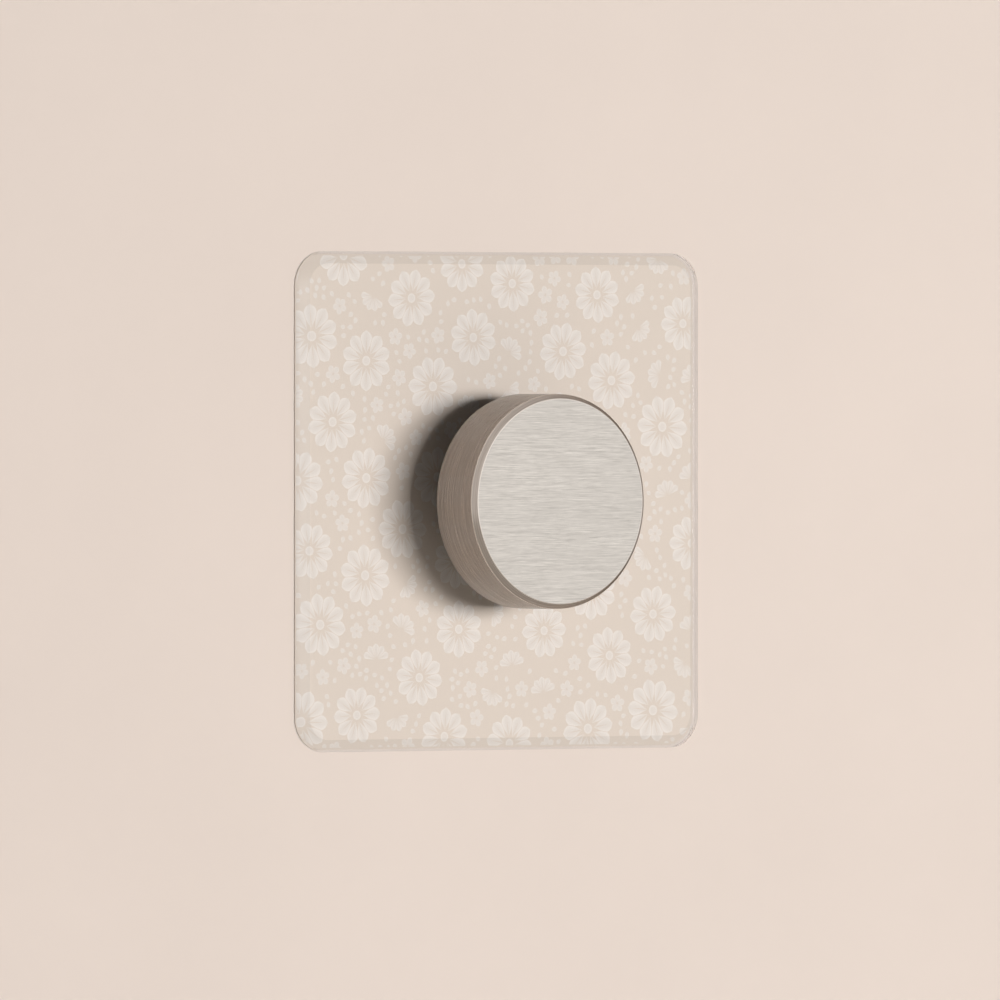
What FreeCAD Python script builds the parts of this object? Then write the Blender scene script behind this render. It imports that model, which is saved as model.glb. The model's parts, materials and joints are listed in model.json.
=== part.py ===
# A wall-mounted rotary dimmer switch with a clear plate and a turned steel knob.
# The clear plate lies on the wall over a sheet of wall paper. A steel frame, flush in the mouth
# of the wall box, hides under the paper and carries the dimmer module in the wall.
# The knob turns a potentiometer and pushes a sprung switch behind it.
# Frame: millimetres, +Z up, -Y towards the room, +Y into the wall.
# Origin: on the spindle's axis, in the plane of the wall's surface.

import FreeCAD, Part
import math
import os

Vec = FreeCAD.Vector

# Clear plate and the paper behind it
plate_side = 86.0  # width and height
plate_thickness = 2.0
plate_corner = 6.0
bevel_width = 2.2  # seen from the front
bevel_depth = 0.6  # seen from the side
paper_thickness = 0.25
paper_margin = 0.5  # the paper stops this far inside the plate's edge
paper_hole_clearance = 0.6

# Knob
knob_diameter = 37.0
knob_length = 11.1
knob_chamfer = 0.85
knob_rim_break = 0.25  # small bevel on the rear rim
knob_gap = 5.95  # from the plate's face to the knob's rear rim
knob_wall = 1.8
knob_face_wall = 2.2
knob_glue_gap = 0.05
insert_ring = 1.5
insert_web = 1.2
insert_setback = 0.8  # the moulded insert stops this far inside the rear rim
insert_boss_diameter = 10.0
insert_rib_count = 8
insert_rib_thickness = 1.1
insert_rib_height = 3.6
boss_slit = 0.8
clip_thickness = 0.5
clip_width = 2.0
clip_gap_angle = 70.0
clip_clearance = 0.4  # along the boss, between the clip and the ribs

# Spindle
spindle_diameter = 6.0
spindle_flat = 4.6  # across the flat side of the knob end
spindle_end_gap = 0.3  # from the spindle's end to the bottom of the knob's socket
spindle_flange_diameter = 8.4
spindle_flange = 0.5
spindle_key_diameter = 5.0
spindle_key_flats = 3.8
spindle_tip_diameter = 3.2
push_travel = 1.5
running_gap = 0.05  # between a shaft and its hole, and behind the spindle's flange
socket_gap = 0.03

# Threaded bush, washer and nut
thread_diameter = 10.0
thread_flats = 9.0
thread_chamfer = 0.5
thread_spare = 1.2  # what stands out of the nut
key_gap = 0.15  # round the bush in plate, paper, frame and heat sink
washer_diameter = 16.0
washer_thickness = 0.8
nut_across_flats = 14.0
nut_thickness = 2.2

# Steel frame in the mouth of the wall box
frame_edge = 0.65  # from a well's outside to the frame's edge
frame_thickness = 1.5
frame_corner = 4.0
box_screw_spacing = 60.3
well_side = 8.2  # pressed well for each box screw
well_depth = 2.5
well_corner = 2.0
well_wall = 1.1
box_screw_hole = 4.0
levelling_slot = 6.4  # length of the right-hand hole
box_screw_head_diameter = 6.6
box_screw_head = 2.1
box_screw_dome = 0.8  # share of the head's radius that its flat top takes
box_screw_shoulder = 0.84  # from the head's top down to its full width
box_screw_neck_diameter = 2.9
box_screw_neck_spare = 0.6  # the neck runs on this far behind the well
box_screw_thread_diameter = 3.5
box_screw_length = 25.0
box_screw_point = 0.6
slot_end_share = 0.499  # corner radius of a long hole, as a share of its width
slot_width = 1.0
slot_depth = 0.9
small_slot_width = 0.8
cross_slot_width = 0.7

# Dimmer module
side_gap = 1.5  # from the parts at the left and right to the cover's inside
module_corner = 3.0
heat_sink_notch_gap = 0.5  # round the frame's wells
heat_sink_thickness = 2.5
cover_clearance = 0.3  # behind the terminal block, to the cover's inside
cover_wall = 1.5
post_diameter = 6.0
post_inset = 4.0  # from the module's side to the post's axis
cover_screw_diameter = 2.5
cover_screw_head_diameter = 4.6
cover_screw_length = 9.0
module_screw_diameter = 3.0
module_screw_head_diameter = 5.6
module_screw_spacing = 32.0
screw_gap = 0.05
vent_count = 5
vent_width = 1.4
vent_height = 14.0
vent_pitch = 3.2
vent_middle = 6.0  # height of the vents' middle over the spindle's axis
rear_rounding = 1.2  # round edge of the cover's back
ledge_spread = 10.3  # height of the side ledges, above and below the spindle

# Circuit board
board_thickness = 1.6
board_gap = 0.5  # to the cover's walls
board_post_gap = 0.4
board_rib_width = 2.0
board_rib_depth = 1.2

# Potentiometer
pot_side = 17.0
pot_corner = 2.0
bush_plate_thickness = 1.0
rotor_diameter = 13.4
rotor_front_gap = 0.2
rotor_web = 1.2
rotor_push_gap = 0.15
rotor_hub_diameter = 6.8
rotor_hub_spare = 0.2
rotor_cavity_gap = 0.35
brush_height = 0.8
brush_sheet = 0.2
brush_arm_width = 1.2
brush_spread = 26.0  # degrees between the two arms
brush_toe = 0.5  # how far an arm runs on past the middle of the track
track_clearance = 0.03
rotor_stop_angle = 20.0  # width of the rotor's stop lug, in degrees
rotor_turn = 135.0  # each way from the middle
stop_height = 0.7
stop_spare = 1.0  # degrees left between lug and stop at the end of the turn
pot_rivet_inset = 1.6
pot_rivet_diameter = 1.2
pot_rivet_head_diameter = 2.2
pot_rivet_head = 0.4
track_thickness = 0.1
track_radius = 5.6
track_width = 1.6
track_gap_angle = 60.0
wafer_thickness = 1.0
wafer_hole_gap = 0.4
pot_leg_width = 1.1
pot_leg_sheet = 0.5
pot_leg_pitch = 5.0

# Push switch behind the potentiometer
switch_width = 15.0
switch_height = 11.0
switch_corner = 1.0
switch_wall = 1.0
switch_front_wall = 0.8
switch_base_thickness = 0.8
switch_hole_gap = 0.35
plunger_diameter = 5.4
plunger_wall = 0.75
plunger_face = 0.7
plunger_front_gap = 0.2
plunger_skirt = 2.1
plunger_arm_length = 10.4
plunger_arm_width = 2.2
plunger_arm_thickness = 0.9
bridge_sheet = 0.2
bridge_ring = 0.9
contact_sheet = 0.3
contact_spacing = 8.6
contact_width = 1.4
contact_closed_gap = 0.05
spring_wire = 0.3
spring_turns = 4.5
spring_wire_sides = 6
spring_gap = 0.15
spring_pip = 0.6  # height of the pip that centres the spring
stop_gap = 0.1

# Power transistor on the heat sink
thermal_pad = 0.3
thermal_margin = 0.5  # of the insulating sheet, round the transistor
transistor_gap = 2.5  # from the potentiometer's side
transistor_width = 10.0
tab_thickness = 1.3
tab_setback = 1.0  # from the body's lower end to the metal tab
tab_height = 6.4
body_height = 9.0
body_thickness = 4.4
lead_pitch = 2.54
lead_width = 0.8
lead_sheet = 0.5
lead_drop = 2.6
lead_root = 1.5  # hidden in the body
lead_level = 2.64  # from the body's front to the leads
transistor_screw_diameter = 3.0
transistor_screw_head_diameter = 5.4
transistor_screw_head = 1.8
transistor_screw_end_gap = 0.3  # to the steel frame

# Parts on the circuit board
film_capacitor_size = (9.0, 8.0, 14.0)
film_capacitor_gap = 3.5  # from the potentiometer's side
film_tail_gap = 0.25  # below the choke's tails
film_pin_share = 0.36  # of its height, from the middle to each pin
box_edge = 0.5  # small bevel on moulded boxes
choke_side_gap = 1.74
choke_outer_diameter = 17.0
choke_inner_diameter = 8.0
choke_height = 6.0
choke_turns = 16
winding_angle = 300.0  # the part of the core that the turns cover
winding_wire = 0.7
winding_gap = 0.06
winding_bend = 0.4
choke_lift = 0.8  # from the board to the core's lower face
core_ease = 0.6
tail_offset = 1.6  # from the core's side to a tail
tail_pitch = 5.0
tail_rise = 2.0
electrolytic_gap = 0.2  # from the fuse link
electrolytic_diameter = 10.0
electrolytic_height = 10.2
electrolytic_pitch = 5.0  # between its pins
can_edge = 0.5
crimp_depth = 0.4
crimp_start = 1.4  # from the can's foot
crimp_slope = 0.3
rectifier_gap = 0.9  # from the surge absorber
rectifier_rise = 5.8  # over the row of transistor leads
rectifier_size = (8.4, 3.2, 6.4)
chip_drop = 6.5  # from the top of the cover's inside
chip_size = (8.6, 1.5, 3.9)
chip_lift = 0.1
chip_edge = 0.3
chip_leg_level = 0.8  # from the board to where a leg leaves the chip
chip_leg_sheet = 0.18
chip_leg_width = 0.42
chip_leg_reach = 0.5  # straight out of the chip's side
chip_leg_slant = 0.2
chip_foot = 0.6
fuse_gap = 0.94  # from the choke, for the control chip too
fuse_drop = 2.7  # below the choke's middle
fuse_diameter = 7.6
fuse_height = 7.5
fuse_edge = 0.5
absorber_gap = 1.1  # from the electrolytic capacitor
absorber_z = 1.0
absorber_size = (3.4, 7.0)  # thickness and diameter
absorber_lift = 1.0
absorber_edge = 0.85
absorber_pin_share = 0.33  # of its diameter, from the middle to each pin
resistor_row = 3.3  # the lower resistor lies this far below the transistor's leads
resistor_top_gap = 2.9  # from the upper resistor's axis to the top of the cover's inside
resistor_edge_gap = 0.5
resistor_post_gap = 1.1
choke_row_gap = 0.69  # from the choke's winding to the upper resistor
resistor_length = 6.4
resistor_diameter = 2.3
resistor_waist = 1.95  # diameter between the end caps
resistor_cap = 1.4
resistor_slope = 0.4
resistor_span = 10.0
chip_pin_count = 7
chip_pin_pitch = 1.27
pin_wire = 0.7
thin_wire = 0.56
pin_tail = 1.2  # how far a pin stands out of the board's far side

# Mains terminals
terminal_row_gap = 1.0  # from the lower resistor's axis to the terminal block
terminal_count = 3
terminal_pitch = 8.4
terminal_bore = 3.4
terminal_width = 6.4
terminal_length = 7.0
terminal_height = 7.4
terminal_bore_height = 2.8  # from the foot of the brass body to the bore's axis
terminal_foot = 1.0
terminal_foot_diameter = 1.3
terminal_screw_diameter = 3.0
terminal_screw_head_diameter = 4.0
terminal_screw_head = 1.6
terminal_screw_lift = 0.7
block_wall = 0.9
block_gap = 0.1
wire_hole = 3.9
screw_access_hole = 3.9  # through the block and the cover

# Earth terminal on the frame
earth_side_gap = 1.5  # from the module's side
earth_rise = 8.0  # from the frame's lower edge to the terminal's middle
earth_side = 7.0
earth_height = 7.0
earth_bore = 3.2
earth_bore_height = 2.94
earth_rivet_diameter = 3.0

# Places along Y that follow from the sizes
paper_front = -paper_thickness
plate_front = paper_front - plate_thickness
washer_front = plate_front - washer_thickness
nut_front = washer_front - nut_thickness
bush_end = nut_front - thread_spare
knob_rear = plate_front - knob_gap
knob_front = knob_rear - knob_length
knob_inner_face = knob_front + knob_face_wall
insert_rear = knob_rear - insert_setback
socket_bottom = knob_inner_face + insert_web
spindle_front = socket_bottom + spindle_end_gap
well_floor = well_depth
well_back = well_depth + frame_thickness
sink_back = frame_thickness + heat_sink_thickness
transistor_front = sink_back + thermal_pad
bush_plate_back = sink_back + bush_plate_thickness
flange_front = bush_plate_back + running_gap
flange_back = flange_front + spindle_flange
rotor_front = bush_plate_back + rotor_front_gap
rotor_floor = flange_back + push_travel + rotor_push_gap
rotor_back = rotor_floor + rotor_web
track_front = rotor_back + brush_height
wafer_front = track_front + track_thickness
wafer_back = wafer_front + wafer_thickness
rotor_hub_back = wafer_front + rotor_hub_spare
key_end = wafer_back - push_travel - stop_gap
switch_inside = wafer_back + switch_front_wall
plunger_front = switch_inside + plunger_front_gap
plunger_inside = plunger_front + plunger_face
arm_back = plunger_front + plunger_arm_thickness
plunger_back = plunger_front + plunger_skirt
base_front = plunger_back + push_travel + stop_gap
board_front = base_front + switch_base_thickness
board_back = board_front + board_thickness
resistor_axis = board_back + resistor_diameter / 2
choke_base = board_back + choke_lift
terminal_y = board_back + terminal_foot + terminal_bore_height
terminal_back = board_back + terminal_foot + terminal_height
block_back = terminal_back + terminal_screw_lift + terminal_screw_head + block_gap
cover_inside = max(block_back, board_back + electrolytic_height) + cover_clearance
cover_back = cover_inside + cover_wall

# Sizes across the spindle's axis that follow
knob_radius = knob_diameter / 2
knob_inner_radius = knob_radius - knob_wall
insert_radius = knob_inner_radius - knob_glue_gap
boss_radius = insert_boss_diameter / 2
spindle_radius = spindle_diameter / 2
thread_radius = thread_diameter / 2
rotor_radius = rotor_diameter / 2
plunger_radius = plunger_diameter / 2
spring_radius = plunger_radius - plunger_wall - spring_gap - spring_wire / 2

# The module's width: the widest of the parts beside the potentiometer and the row on the board's rear
film_width, film_depth, film_height = film_capacitor_size
winding_reach = choke_outer_diameter / 2 + winding_gap + winding_wire
film_x = -(pot_side / 2 + film_capacitor_gap + film_width / 2)
transistor_x = pot_side / 2 + transistor_gap + transistor_width / 2
front_reach = max(film_width / 2 - film_x, transistor_x + transistor_width / 2) + side_gap
rear_row = (
    choke_side_gap + 2 * winding_reach + fuse_gap + fuse_diameter + electrolytic_gap
    + electrolytic_diameter + absorber_gap + absorber_size[0] + side_gap
)
inner_width = max(2 * front_reach, rear_row)
module_width = inner_width + 2 * cover_wall

# The module's height: from the spindle down past the transistor's leads and the terminal block
transistor_base_z = -(body_height + tab_height) / 2
transistor_hole_z = transistor_base_z + body_height + tab_height / 2
lead_z = transistor_base_z - lead_drop
lower_resistor_z = lead_z - resistor_row
block_length = terminal_length + 2 * block_wall
block_width = terminal_count * terminal_pitch + block_wall
terminal_z = lower_resistor_z - terminal_row_gap - block_length / 2
block_bottom = terminal_z - block_length / 2
inner_height = 2 * (block_gap - block_bottom)
module_height = inner_height + 2 * cover_wall
post_x = module_width / 2 - post_inset
post_z = module_height / 2 - post_inset

# The frame reaches just past the wells, and the earth terminal sits beside the module
frame_side = box_screw_spacing + well_side + 2 * (well_wall + frame_edge)
earth_x = -(module_width / 2 + earth_side_gap + earth_side / 2)
earth_z = earth_rise - frame_side / 2

# Places of the parts on the board, (x, z) of each middle
upper_resistor_z = inner_height / 2 - resistor_top_gap
choke_x = -inner_width / 2 + choke_side_gap + winding_reach
choke_z = upper_resistor_z - resistor_diameter / 2 - choke_row_gap - winding_reach
choke_place = (choke_x, choke_z)
tail_z = choke_z - choke_outer_diameter / 2 - tail_offset
film_capacitor_place = (film_x, tail_z - pin_wire / 2 - film_tail_gap - film_height / 2)
fuse_place = (choke_x + winding_reach + fuse_gap + fuse_diameter / 2, choke_z - fuse_drop)
electrolytic_x = fuse_place[0] + fuse_diameter / 2 + electrolytic_gap + electrolytic_diameter / 2
electrolytic_place = (electrolytic_x, choke_z)
absorber_x = electrolytic_x + electrolytic_diameter / 2 + absorber_gap + absorber_size[0] / 2
rectifier_x = absorber_x - absorber_size[0] / 2 - rectifier_gap - rectifier_size[0] / 2
rectifier_place = (rectifier_x, lead_z + rectifier_rise)
chip_x = choke_x + winding_reach + fuse_gap + chip_size[0] / 2
chip_place = (chip_x, inner_height / 2 - chip_drop)
lower_resistor_x = inner_width / 2 - board_gap - resistor_edge_gap - resistor_span / 2
upper_resistor_x = post_diameter / 2 + board_post_gap + resistor_post_gap + resistor_span / 2 - post_x
resistor_places = [(lower_resistor_x, lower_resistor_z), (upper_resistor_x, upper_resistor_z)]

# Terminals and screws
post_places = [(x, z) for x in (-post_x, post_x) for z in (-post_z, post_z)]
module_screw_places = [(0, -module_screw_spacing / 2), (0, module_screw_spacing / 2)]
box_screw_places = [(-box_screw_spacing / 2, 0), (box_screw_spacing / 2, 0)]
terminal_places = [
    ((i - (terminal_count - 1) / 2) * terminal_pitch, terminal_z) for i in range(terminal_count)
]
over = 1.0  # how far a cutting tool runs past what it cuts
bite = 0.25  # how far joined solids run into each other
tolerance = 1e-6


# Basic solids along the Y axis


def rod(radius, start, end, x=0.0, z=0.0):
    return Part.makeCylinder(radius, end - start, Vec(x, start, z), Vec(0, 1, 0))


def cone(start_radius, end_radius, start, end, x=0.0, z=0.0):
    return Part.makeCone(start_radius, end_radius, end - start, Vec(x, start, z), Vec(0, 1, 0))


def turned(profile, x=0.0, z=0.0):
    """A solid of revolution about the Y axis through x, z. The profile is (radius, y) corners."""
    corners = [Vec(x + radius, y, z) for radius, y in profile]
    face = Part.Face(Part.makePolygon(corners + corners[:1]))
    return face.revolve(Vec(x, 0, z), Vec(0, 1, 0), 360)


def arc_block(inner, outer, start, end, angle, middle):
    """Part of a flat ring about the spindle's axis. Its middle is turned from the top by an angle."""
    corners = [Vec(0, start, inner), Vec(0, start, outer), Vec(0, end, outer), Vec(0, end, inner)]
    face = Part.Face(Part.makePolygon(corners + corners[:1]))
    face.rotate(Vec(0, 0, 0), Vec(0, 1, 0), middle - angle / 2)
    return face.revolve(Vec(0, 0, 0), Vec(0, 1, 0), angle)


def block(width, start, end, height, x=0.0, z=0.0):
    return Part.makeBox(width, end - start, height, Vec(x - width / 2, start, z - height / 2))


def rounded_outline(width, height, corner, y, x=0.0, z=0.0):
    """A closed rectangle with round corners, across the Y axis."""
    right, top = width / 2, height / 2
    slant = corner * (1 - math.sqrt(0.5))
    edges = []
    for turn in range(4):
        side, rise = (right, top) if turn % 2 == 0 else (top, right)
        local = [
            (side, -rise + corner),
            (side, rise - corner),
            (side - slant, rise - slant),
            (side - corner, rise),
        ]
        angle = turn * math.pi / 2
        cos, sin = round(math.cos(angle)), round(math.sin(angle))
        places = [Vec(x + a * cos - b * sin, y, z + a * sin + b * cos) for a, b in local]
        edges.append(Part.makeLine(places[0], places[1]))
        edges.append(Part.Arc(places[1], places[2], places[3]).toShape())
    return Part.Wire(edges)


def slab(width, height, corner, start, end, x=0.0, z=0.0):
    face = Part.Face(rounded_outline(width, height, corner, start, x, z))
    return face.extrude(Vec(0, end - start, 0))


def clipped_slab(width, height, corner, start, end):
    """A block whose four corners are cut off at 45 degrees."""
    right, top = width / 2, height / 2
    quarter = [(right, top - corner), (right - corner, top)]
    half = quarter + [(-x, z) for x, z in quarter[::-1]]
    outline = half + [(-x, -z) for x, z in half]
    corners = [Vec(x, start, z) for x, z in outline]
    return Part.Face(Part.makePolygon(corners + corners[:1])).extrude(Vec(0, end - start, 0))


def keyed_rod(radius, flats, start, end):
    """A round bar with two flat sides, left and right."""
    return rod(radius, start, end).common(block(flats, start, end, 4 * radius))


def side_line(points, offset):
    """The line beside a bent centre line in (y, z), with its corners mitred."""
    steps = [(b[0] - a[0], b[1] - a[1]) for a, b in zip(points, points[1:])]
    normals = [(-dz / math.hypot(dy, dz), dy / math.hypot(dy, dz)) for dy, dz in steps]
    before, after = normals[:1] + normals, normals + normals[-1:]
    line = []
    for (y, z), first, second in zip(points, before, after):
        stretch = offset / (1 + first[0] * second[0] + first[1] * second[1])
        line.append((y + stretch * (first[0] + second[0]), z + stretch * (first[1] + second[1])))
    return line


def sheet_strip(points, thickness, width, x=0.0):
    """A bent strip of sheet metal along a centre line in (y, z), with its width along X."""
    outline = side_line(points, thickness / 2) + side_line(points, -thickness / 2)[::-1]
    corners = [Vec(x - width / 2, y, z) for y, z in outline]
    return Part.Face(Part.makePolygon(corners + corners[:1])).extrude(Vec(width, 0, 0))


def cut_all(solid, tools):
    for tool in tools:
        solid = solid.cut(tool)
    return solid


def fuse_all(solids):
    joined = solids[0]
    for solid in solids[1:]:
        joined = joined.fuse(solid)
    return joined.removeSplitter()


def slotted(head, front, x, z, width, length, depth):
    """Cuts a screwdriver slot into a head whose flat face is at front. A negative depth cuts towards -Y."""
    low, high = sorted((front, front + depth))
    return head.cut(block(width, low, high, length, x, z))


# Clear plate, paper, washer and nut


def front_plate():
    shoulder = plate_front + bevel_depth
    slab_part = slab(plate_side, plate_side, plate_corner, shoulder, paper_front)
    inner_side = plate_side - 2 * bevel_width
    rim = rounded_outline(plate_side, plate_side, plate_corner, shoulder)
    face = rounded_outline(inner_side, inner_side, plate_corner - bevel_width, plate_front)
    bevel = Part.makeLoft([rim, face], True, True)
    hole = keyed_rod(
        thread_radius + key_gap, thread_flats + 2 * key_gap, plate_front - over, paper_front + over
    )
    return fuse_all([slab_part, bevel]).cut(hole)


def paper_sheet():
    side = plate_side - 2 * paper_margin
    sheet = slab(side, side, plate_corner - paper_margin, paper_front, 0)
    return sheet.cut(rod(thread_radius + paper_hole_clearance, paper_front - over, over))


def plate_washer():
    hole = thread_radius + key_gap
    outer = washer_diameter / 2
    return turned(
        [(hole, washer_front), (outer, washer_front), (outer, plate_front), (hole, plate_front)]
    )


def plate_nut():
    corner_radius = nut_across_flats / math.sqrt(3)
    corners = [
        Vec(corner_radius * math.cos(i * math.pi / 3), nut_front, corner_radius * math.sin(i * math.pi / 3))
        for i in range(6)
    ]
    hexagon = Part.Face(Part.makePolygon(corners + corners[:1]))
    bar = hexagon.extrude(Vec(0, nut_thickness, 0))
    crown = (corner_radius - nut_across_flats / 2) / math.sqrt(3)
    dome = turned(
        [
            (0, nut_front),
            (nut_across_flats / 2, nut_front),
            (corner_radius, nut_front + crown),
            (corner_radius, washer_front),
            (0, washer_front),
        ]
    )
    hole = rod(thread_radius + running_gap, nut_front - over, washer_front + over)
    return bar.common(dome).cut(hole)


# Knob


def knob_shell():
    return turned(
        [
            (0, knob_front),
            (knob_radius - knob_chamfer, knob_front),
            (knob_radius, knob_front + knob_chamfer),
            (knob_radius, knob_rear - knob_rim_break),
            (knob_radius - knob_rim_break, knob_rear),
            (knob_inner_radius, knob_rear),
            (knob_inner_radius, knob_inner_face),
            (0, knob_inner_face),
        ]
    )


def d_socket():
    """The hole for the spindle's end: round, with one flat on top."""
    radius = spindle_radius + socket_gap
    flat_top = spindle_flat - spindle_radius + socket_gap
    hole = rod(radius, socket_bottom, insert_rear + over)
    middle = flat_top + radius
    above = block(4 * radius, socket_bottom - over, insert_rear + 2 * over, 2 * radius, 0, middle)
    return hole.cut(above)


def knob_insert():
    ring_inner = insert_radius - insert_ring
    cup = turned(
        [
            (0, knob_inner_face),
            (insert_radius, knob_inner_face),
            (insert_radius, insert_rear),
            (ring_inner, insert_rear),
            (ring_inner, socket_bottom),
            (boss_radius, socket_bottom),
            (boss_radius, insert_rear),
            (0, insert_rear),
        ]
    )
    rib_back = socket_bottom + insert_rib_height
    rib_length = ring_inner - boss_radius + 2 * bite
    ribs = []
    for i in range(insert_rib_count):
        middle = (ring_inner + boss_radius) / 2
        rib = block(rib_length, socket_bottom, rib_back, insert_rib_thickness, middle)
        rib.rotate(Vec(0, 0, 0), Vec(0, 1, 0), (i + 0.5) * 360 / insert_rib_count)
        ribs.append(rib)
    slit = block(boss_slit, rib_back, insert_rear + over, insert_boss_diameter + over)
    return fuse_all([cup] + ribs).cut(d_socket()).cut(slit)


def knob_clip():
    """An open ring of spring steel that squeezes the slit boss onto the spindle."""
    front = socket_bottom + insert_rib_height + clip_clearance
    inner, outer = boss_radius, boss_radius + clip_thickness
    back = front + clip_width
    return arc_block(inner, outer, front, back, 360 - clip_gap_angle, 0)


def spindle():
    """One turned bar: flatted knob end, flange, two-flat key through the rotor, and tip."""
    flat_top = spindle_flat - spindle_radius
    above = block(
        4 * spindle_radius, spindle_front - over, insert_rear + push_travel, 2 * spindle_radius,
        0, flat_top + spindle_radius,
    )
    nose = turned(
        [
            (0, spindle_front),
            (spindle_radius - thread_chamfer, spindle_front),
            (spindle_radius, spindle_front + thread_chamfer),
            (spindle_radius, flange_front),
            (0, flange_front),
        ]
    )
    flange = rod(spindle_flange_diameter / 2, flange_front, flange_back)
    key = keyed_rod(spindle_key_diameter / 2, spindle_key_flats, flange_back, key_end)
    tip = rod(spindle_tip_diameter / 2, key_end, plunger_front)
    return fuse_all([nose.cut(above), flange, key, tip])


# Steel frame and its screws


def countersink(radius, head_radius, front, x, z):
    """A tool for a flat head whose face lies at front, with its clearance hole going in."""
    depth = head_radius - radius
    return cone(head_radius, radius, front, front + depth, x, z)


def mounting_frame():
    sheet = slab(frame_side, frame_side, frame_corner, 0, frame_thickness)
    outside = well_side + 2 * well_wall
    wells = []
    pockets = []
    for x, z in box_screw_places:
        wells.append(slab(outside, outside, well_corner + well_wall, 0, well_back, x, z))
        pockets.append(slab(well_side, well_side, well_corner, -over, well_floor, x, z))
    left, right = box_screw_places
    end_radius = box_screw_hole * slot_end_share
    holes = [
        rod(box_screw_hole / 2, -over, well_back + over, *left),
        slab(box_screw_hole, levelling_slot, end_radius, -over, well_back + over, *right),
        rod(earth_rivet_diameter / 2, -over, frame_thickness + over, earth_x, earth_z),
        keyed_rod(thread_radius + key_gap, thread_flats + 2 * key_gap, -over, frame_thickness + over),
    ]
    for x, z in module_screw_places:
        hole_radius = module_screw_diameter / 2 + screw_gap
        holes.append(rod(hole_radius, -over, frame_thickness + over, x, z))
        holes.append(countersink(hole_radius, module_screw_head_diameter / 2 + screw_gap, 0, x, z))
    return cut_all(fuse_all([sheet] + wells), pockets + holes)


def box_screws():
    """Two long machine screws with pan heads and a thin neck, which stand out of the frame's back."""
    screws = []
    head_front = well_floor - box_screw_head
    neck_end = well_back + box_screw_neck_spare
    end = well_floor + box_screw_length
    head, neck, thread = (
        box_screw_head_diameter / 2, box_screw_neck_diameter / 2, box_screw_thread_diameter / 2,
    )
    for x, z in box_screw_places:
        screw = turned(
            [
                (0, head_front),
                (head * box_screw_dome, head_front),
                (head, head_front + box_screw_shoulder),
                (head, well_floor),
                (neck, well_floor),
                (neck, neck_end),
                (thread, neck_end),
                (thread, end - box_screw_point),
                (thread - box_screw_point, end),
                (0, end),
            ],
            x,
            z,
        )
        slot_length = box_screw_head_diameter + over
        screws.append(slotted(screw, head_front, x, z, slot_width, slot_length, slot_depth))
    return screws


def flat_head_screw(diameter, head_diameter, front, end, x, z):
    radius, head = diameter / 2, head_diameter / 2
    screw = turned(
        [(0, front), (head, front), (radius, front + head - radius), (radius, end), (0, end)], x, z
    )
    screw = slotted(screw, front, x, z, cross_slot_width, head, slot_depth)
    return slotted(screw, front, x, z, head, cross_slot_width, slot_depth)


def module_screws():
    return [
        flat_head_screw(module_screw_diameter, module_screw_head_diameter, 0, sink_back, x, z)
        for x, z in module_screw_places
    ]


def clamp_body(width, length, height, bore, bore_height, foot, x, z, screw_radius):
    """A brass block: a wire bore along Z, and a tapped hole from the rear down to the bore."""
    body = block(width, foot, foot + height, length, x, z)
    wire = Part.makeCylinder(
        bore / 2, length + 2 * over, Vec(x, foot + bore_height, z - length / 2 - over), Vec(0, 0, 1)
    )
    tapped = rod(screw_radius + screw_gap, foot + bore_height, foot + height + over, x, z)
    return body.cut(wire).cut(tapped)


def clamp_screw(radius, head_radius, head, tip, seat, lift, x, z):
    """A screw backed out by lift, its tip level with the bore's wall."""
    top = seat + lift
    end = top + head
    screw = turned(
        [(0, tip), (radius, tip), (radius, top), (head_radius, top), (head_radius, end), (0, end)], x, z
    )
    return slotted(screw, end, x, z, small_slot_width, 2 * head_radius + over, -slot_depth)


def earth_terminal():
    body = clamp_body(
        earth_side, earth_side, earth_height, earth_bore, earth_bore_height, frame_thickness,
        earth_x, earth_z, terminal_screw_diameter / 2,
    )
    rivet = rod(earth_rivet_diameter / 2 - screw_gap, 0, frame_thickness + bite, earth_x, earth_z)
    return fuse_all([body, rivet])


def earth_screw():
    tip = frame_thickness + earth_bore_height + earth_bore / 2
    return clamp_screw(
        terminal_screw_diameter / 2, terminal_screw_head_diameter / 2, terminal_screw_head,
        tip, frame_thickness + earth_height, terminal_screw_lift, earth_x, earth_z,
    )


# Module: heat sink, cover and board


def heat_sink():
    plate = slab(module_width, module_height, module_corner, frame_thickness, sink_back)
    front, back = frame_thickness - over, sink_back + over
    holes = [keyed_rod(thread_radius + key_gap, thread_flats + 2 * key_gap, front, back)]
    for x, z in module_screw_places:
        holes.append(rod(module_screw_diameter / 2 + screw_gap, front, back, x, z))
    for x, z in post_places:
        hole_radius = cover_screw_diameter / 2 + screw_gap
        holes.append(rod(hole_radius, front, back, x, z))
        head_radius = cover_screw_head_diameter / 2 + screw_gap
        holes.append(countersink(hole_radius, head_radius, frame_thickness, x, z))
    tap_radius = transistor_screw_diameter / 2 + screw_gap
    holes.append(rod(tap_radius, front, back, transistor_x, transistor_hole_z))
    notch = well_side + 2 * (well_wall + heat_sink_notch_gap)
    holes += [slab(notch, notch, well_corner, front, back, x, z) for x, z in box_screw_places]
    return cut_all(plate, holes)


def cover_screws():
    end = frame_thickness + cover_screw_length
    return [
        flat_head_screw(cover_screw_diameter, cover_screw_head_diameter, frame_thickness, end, x, z)
        for x, z in post_places
    ]


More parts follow.
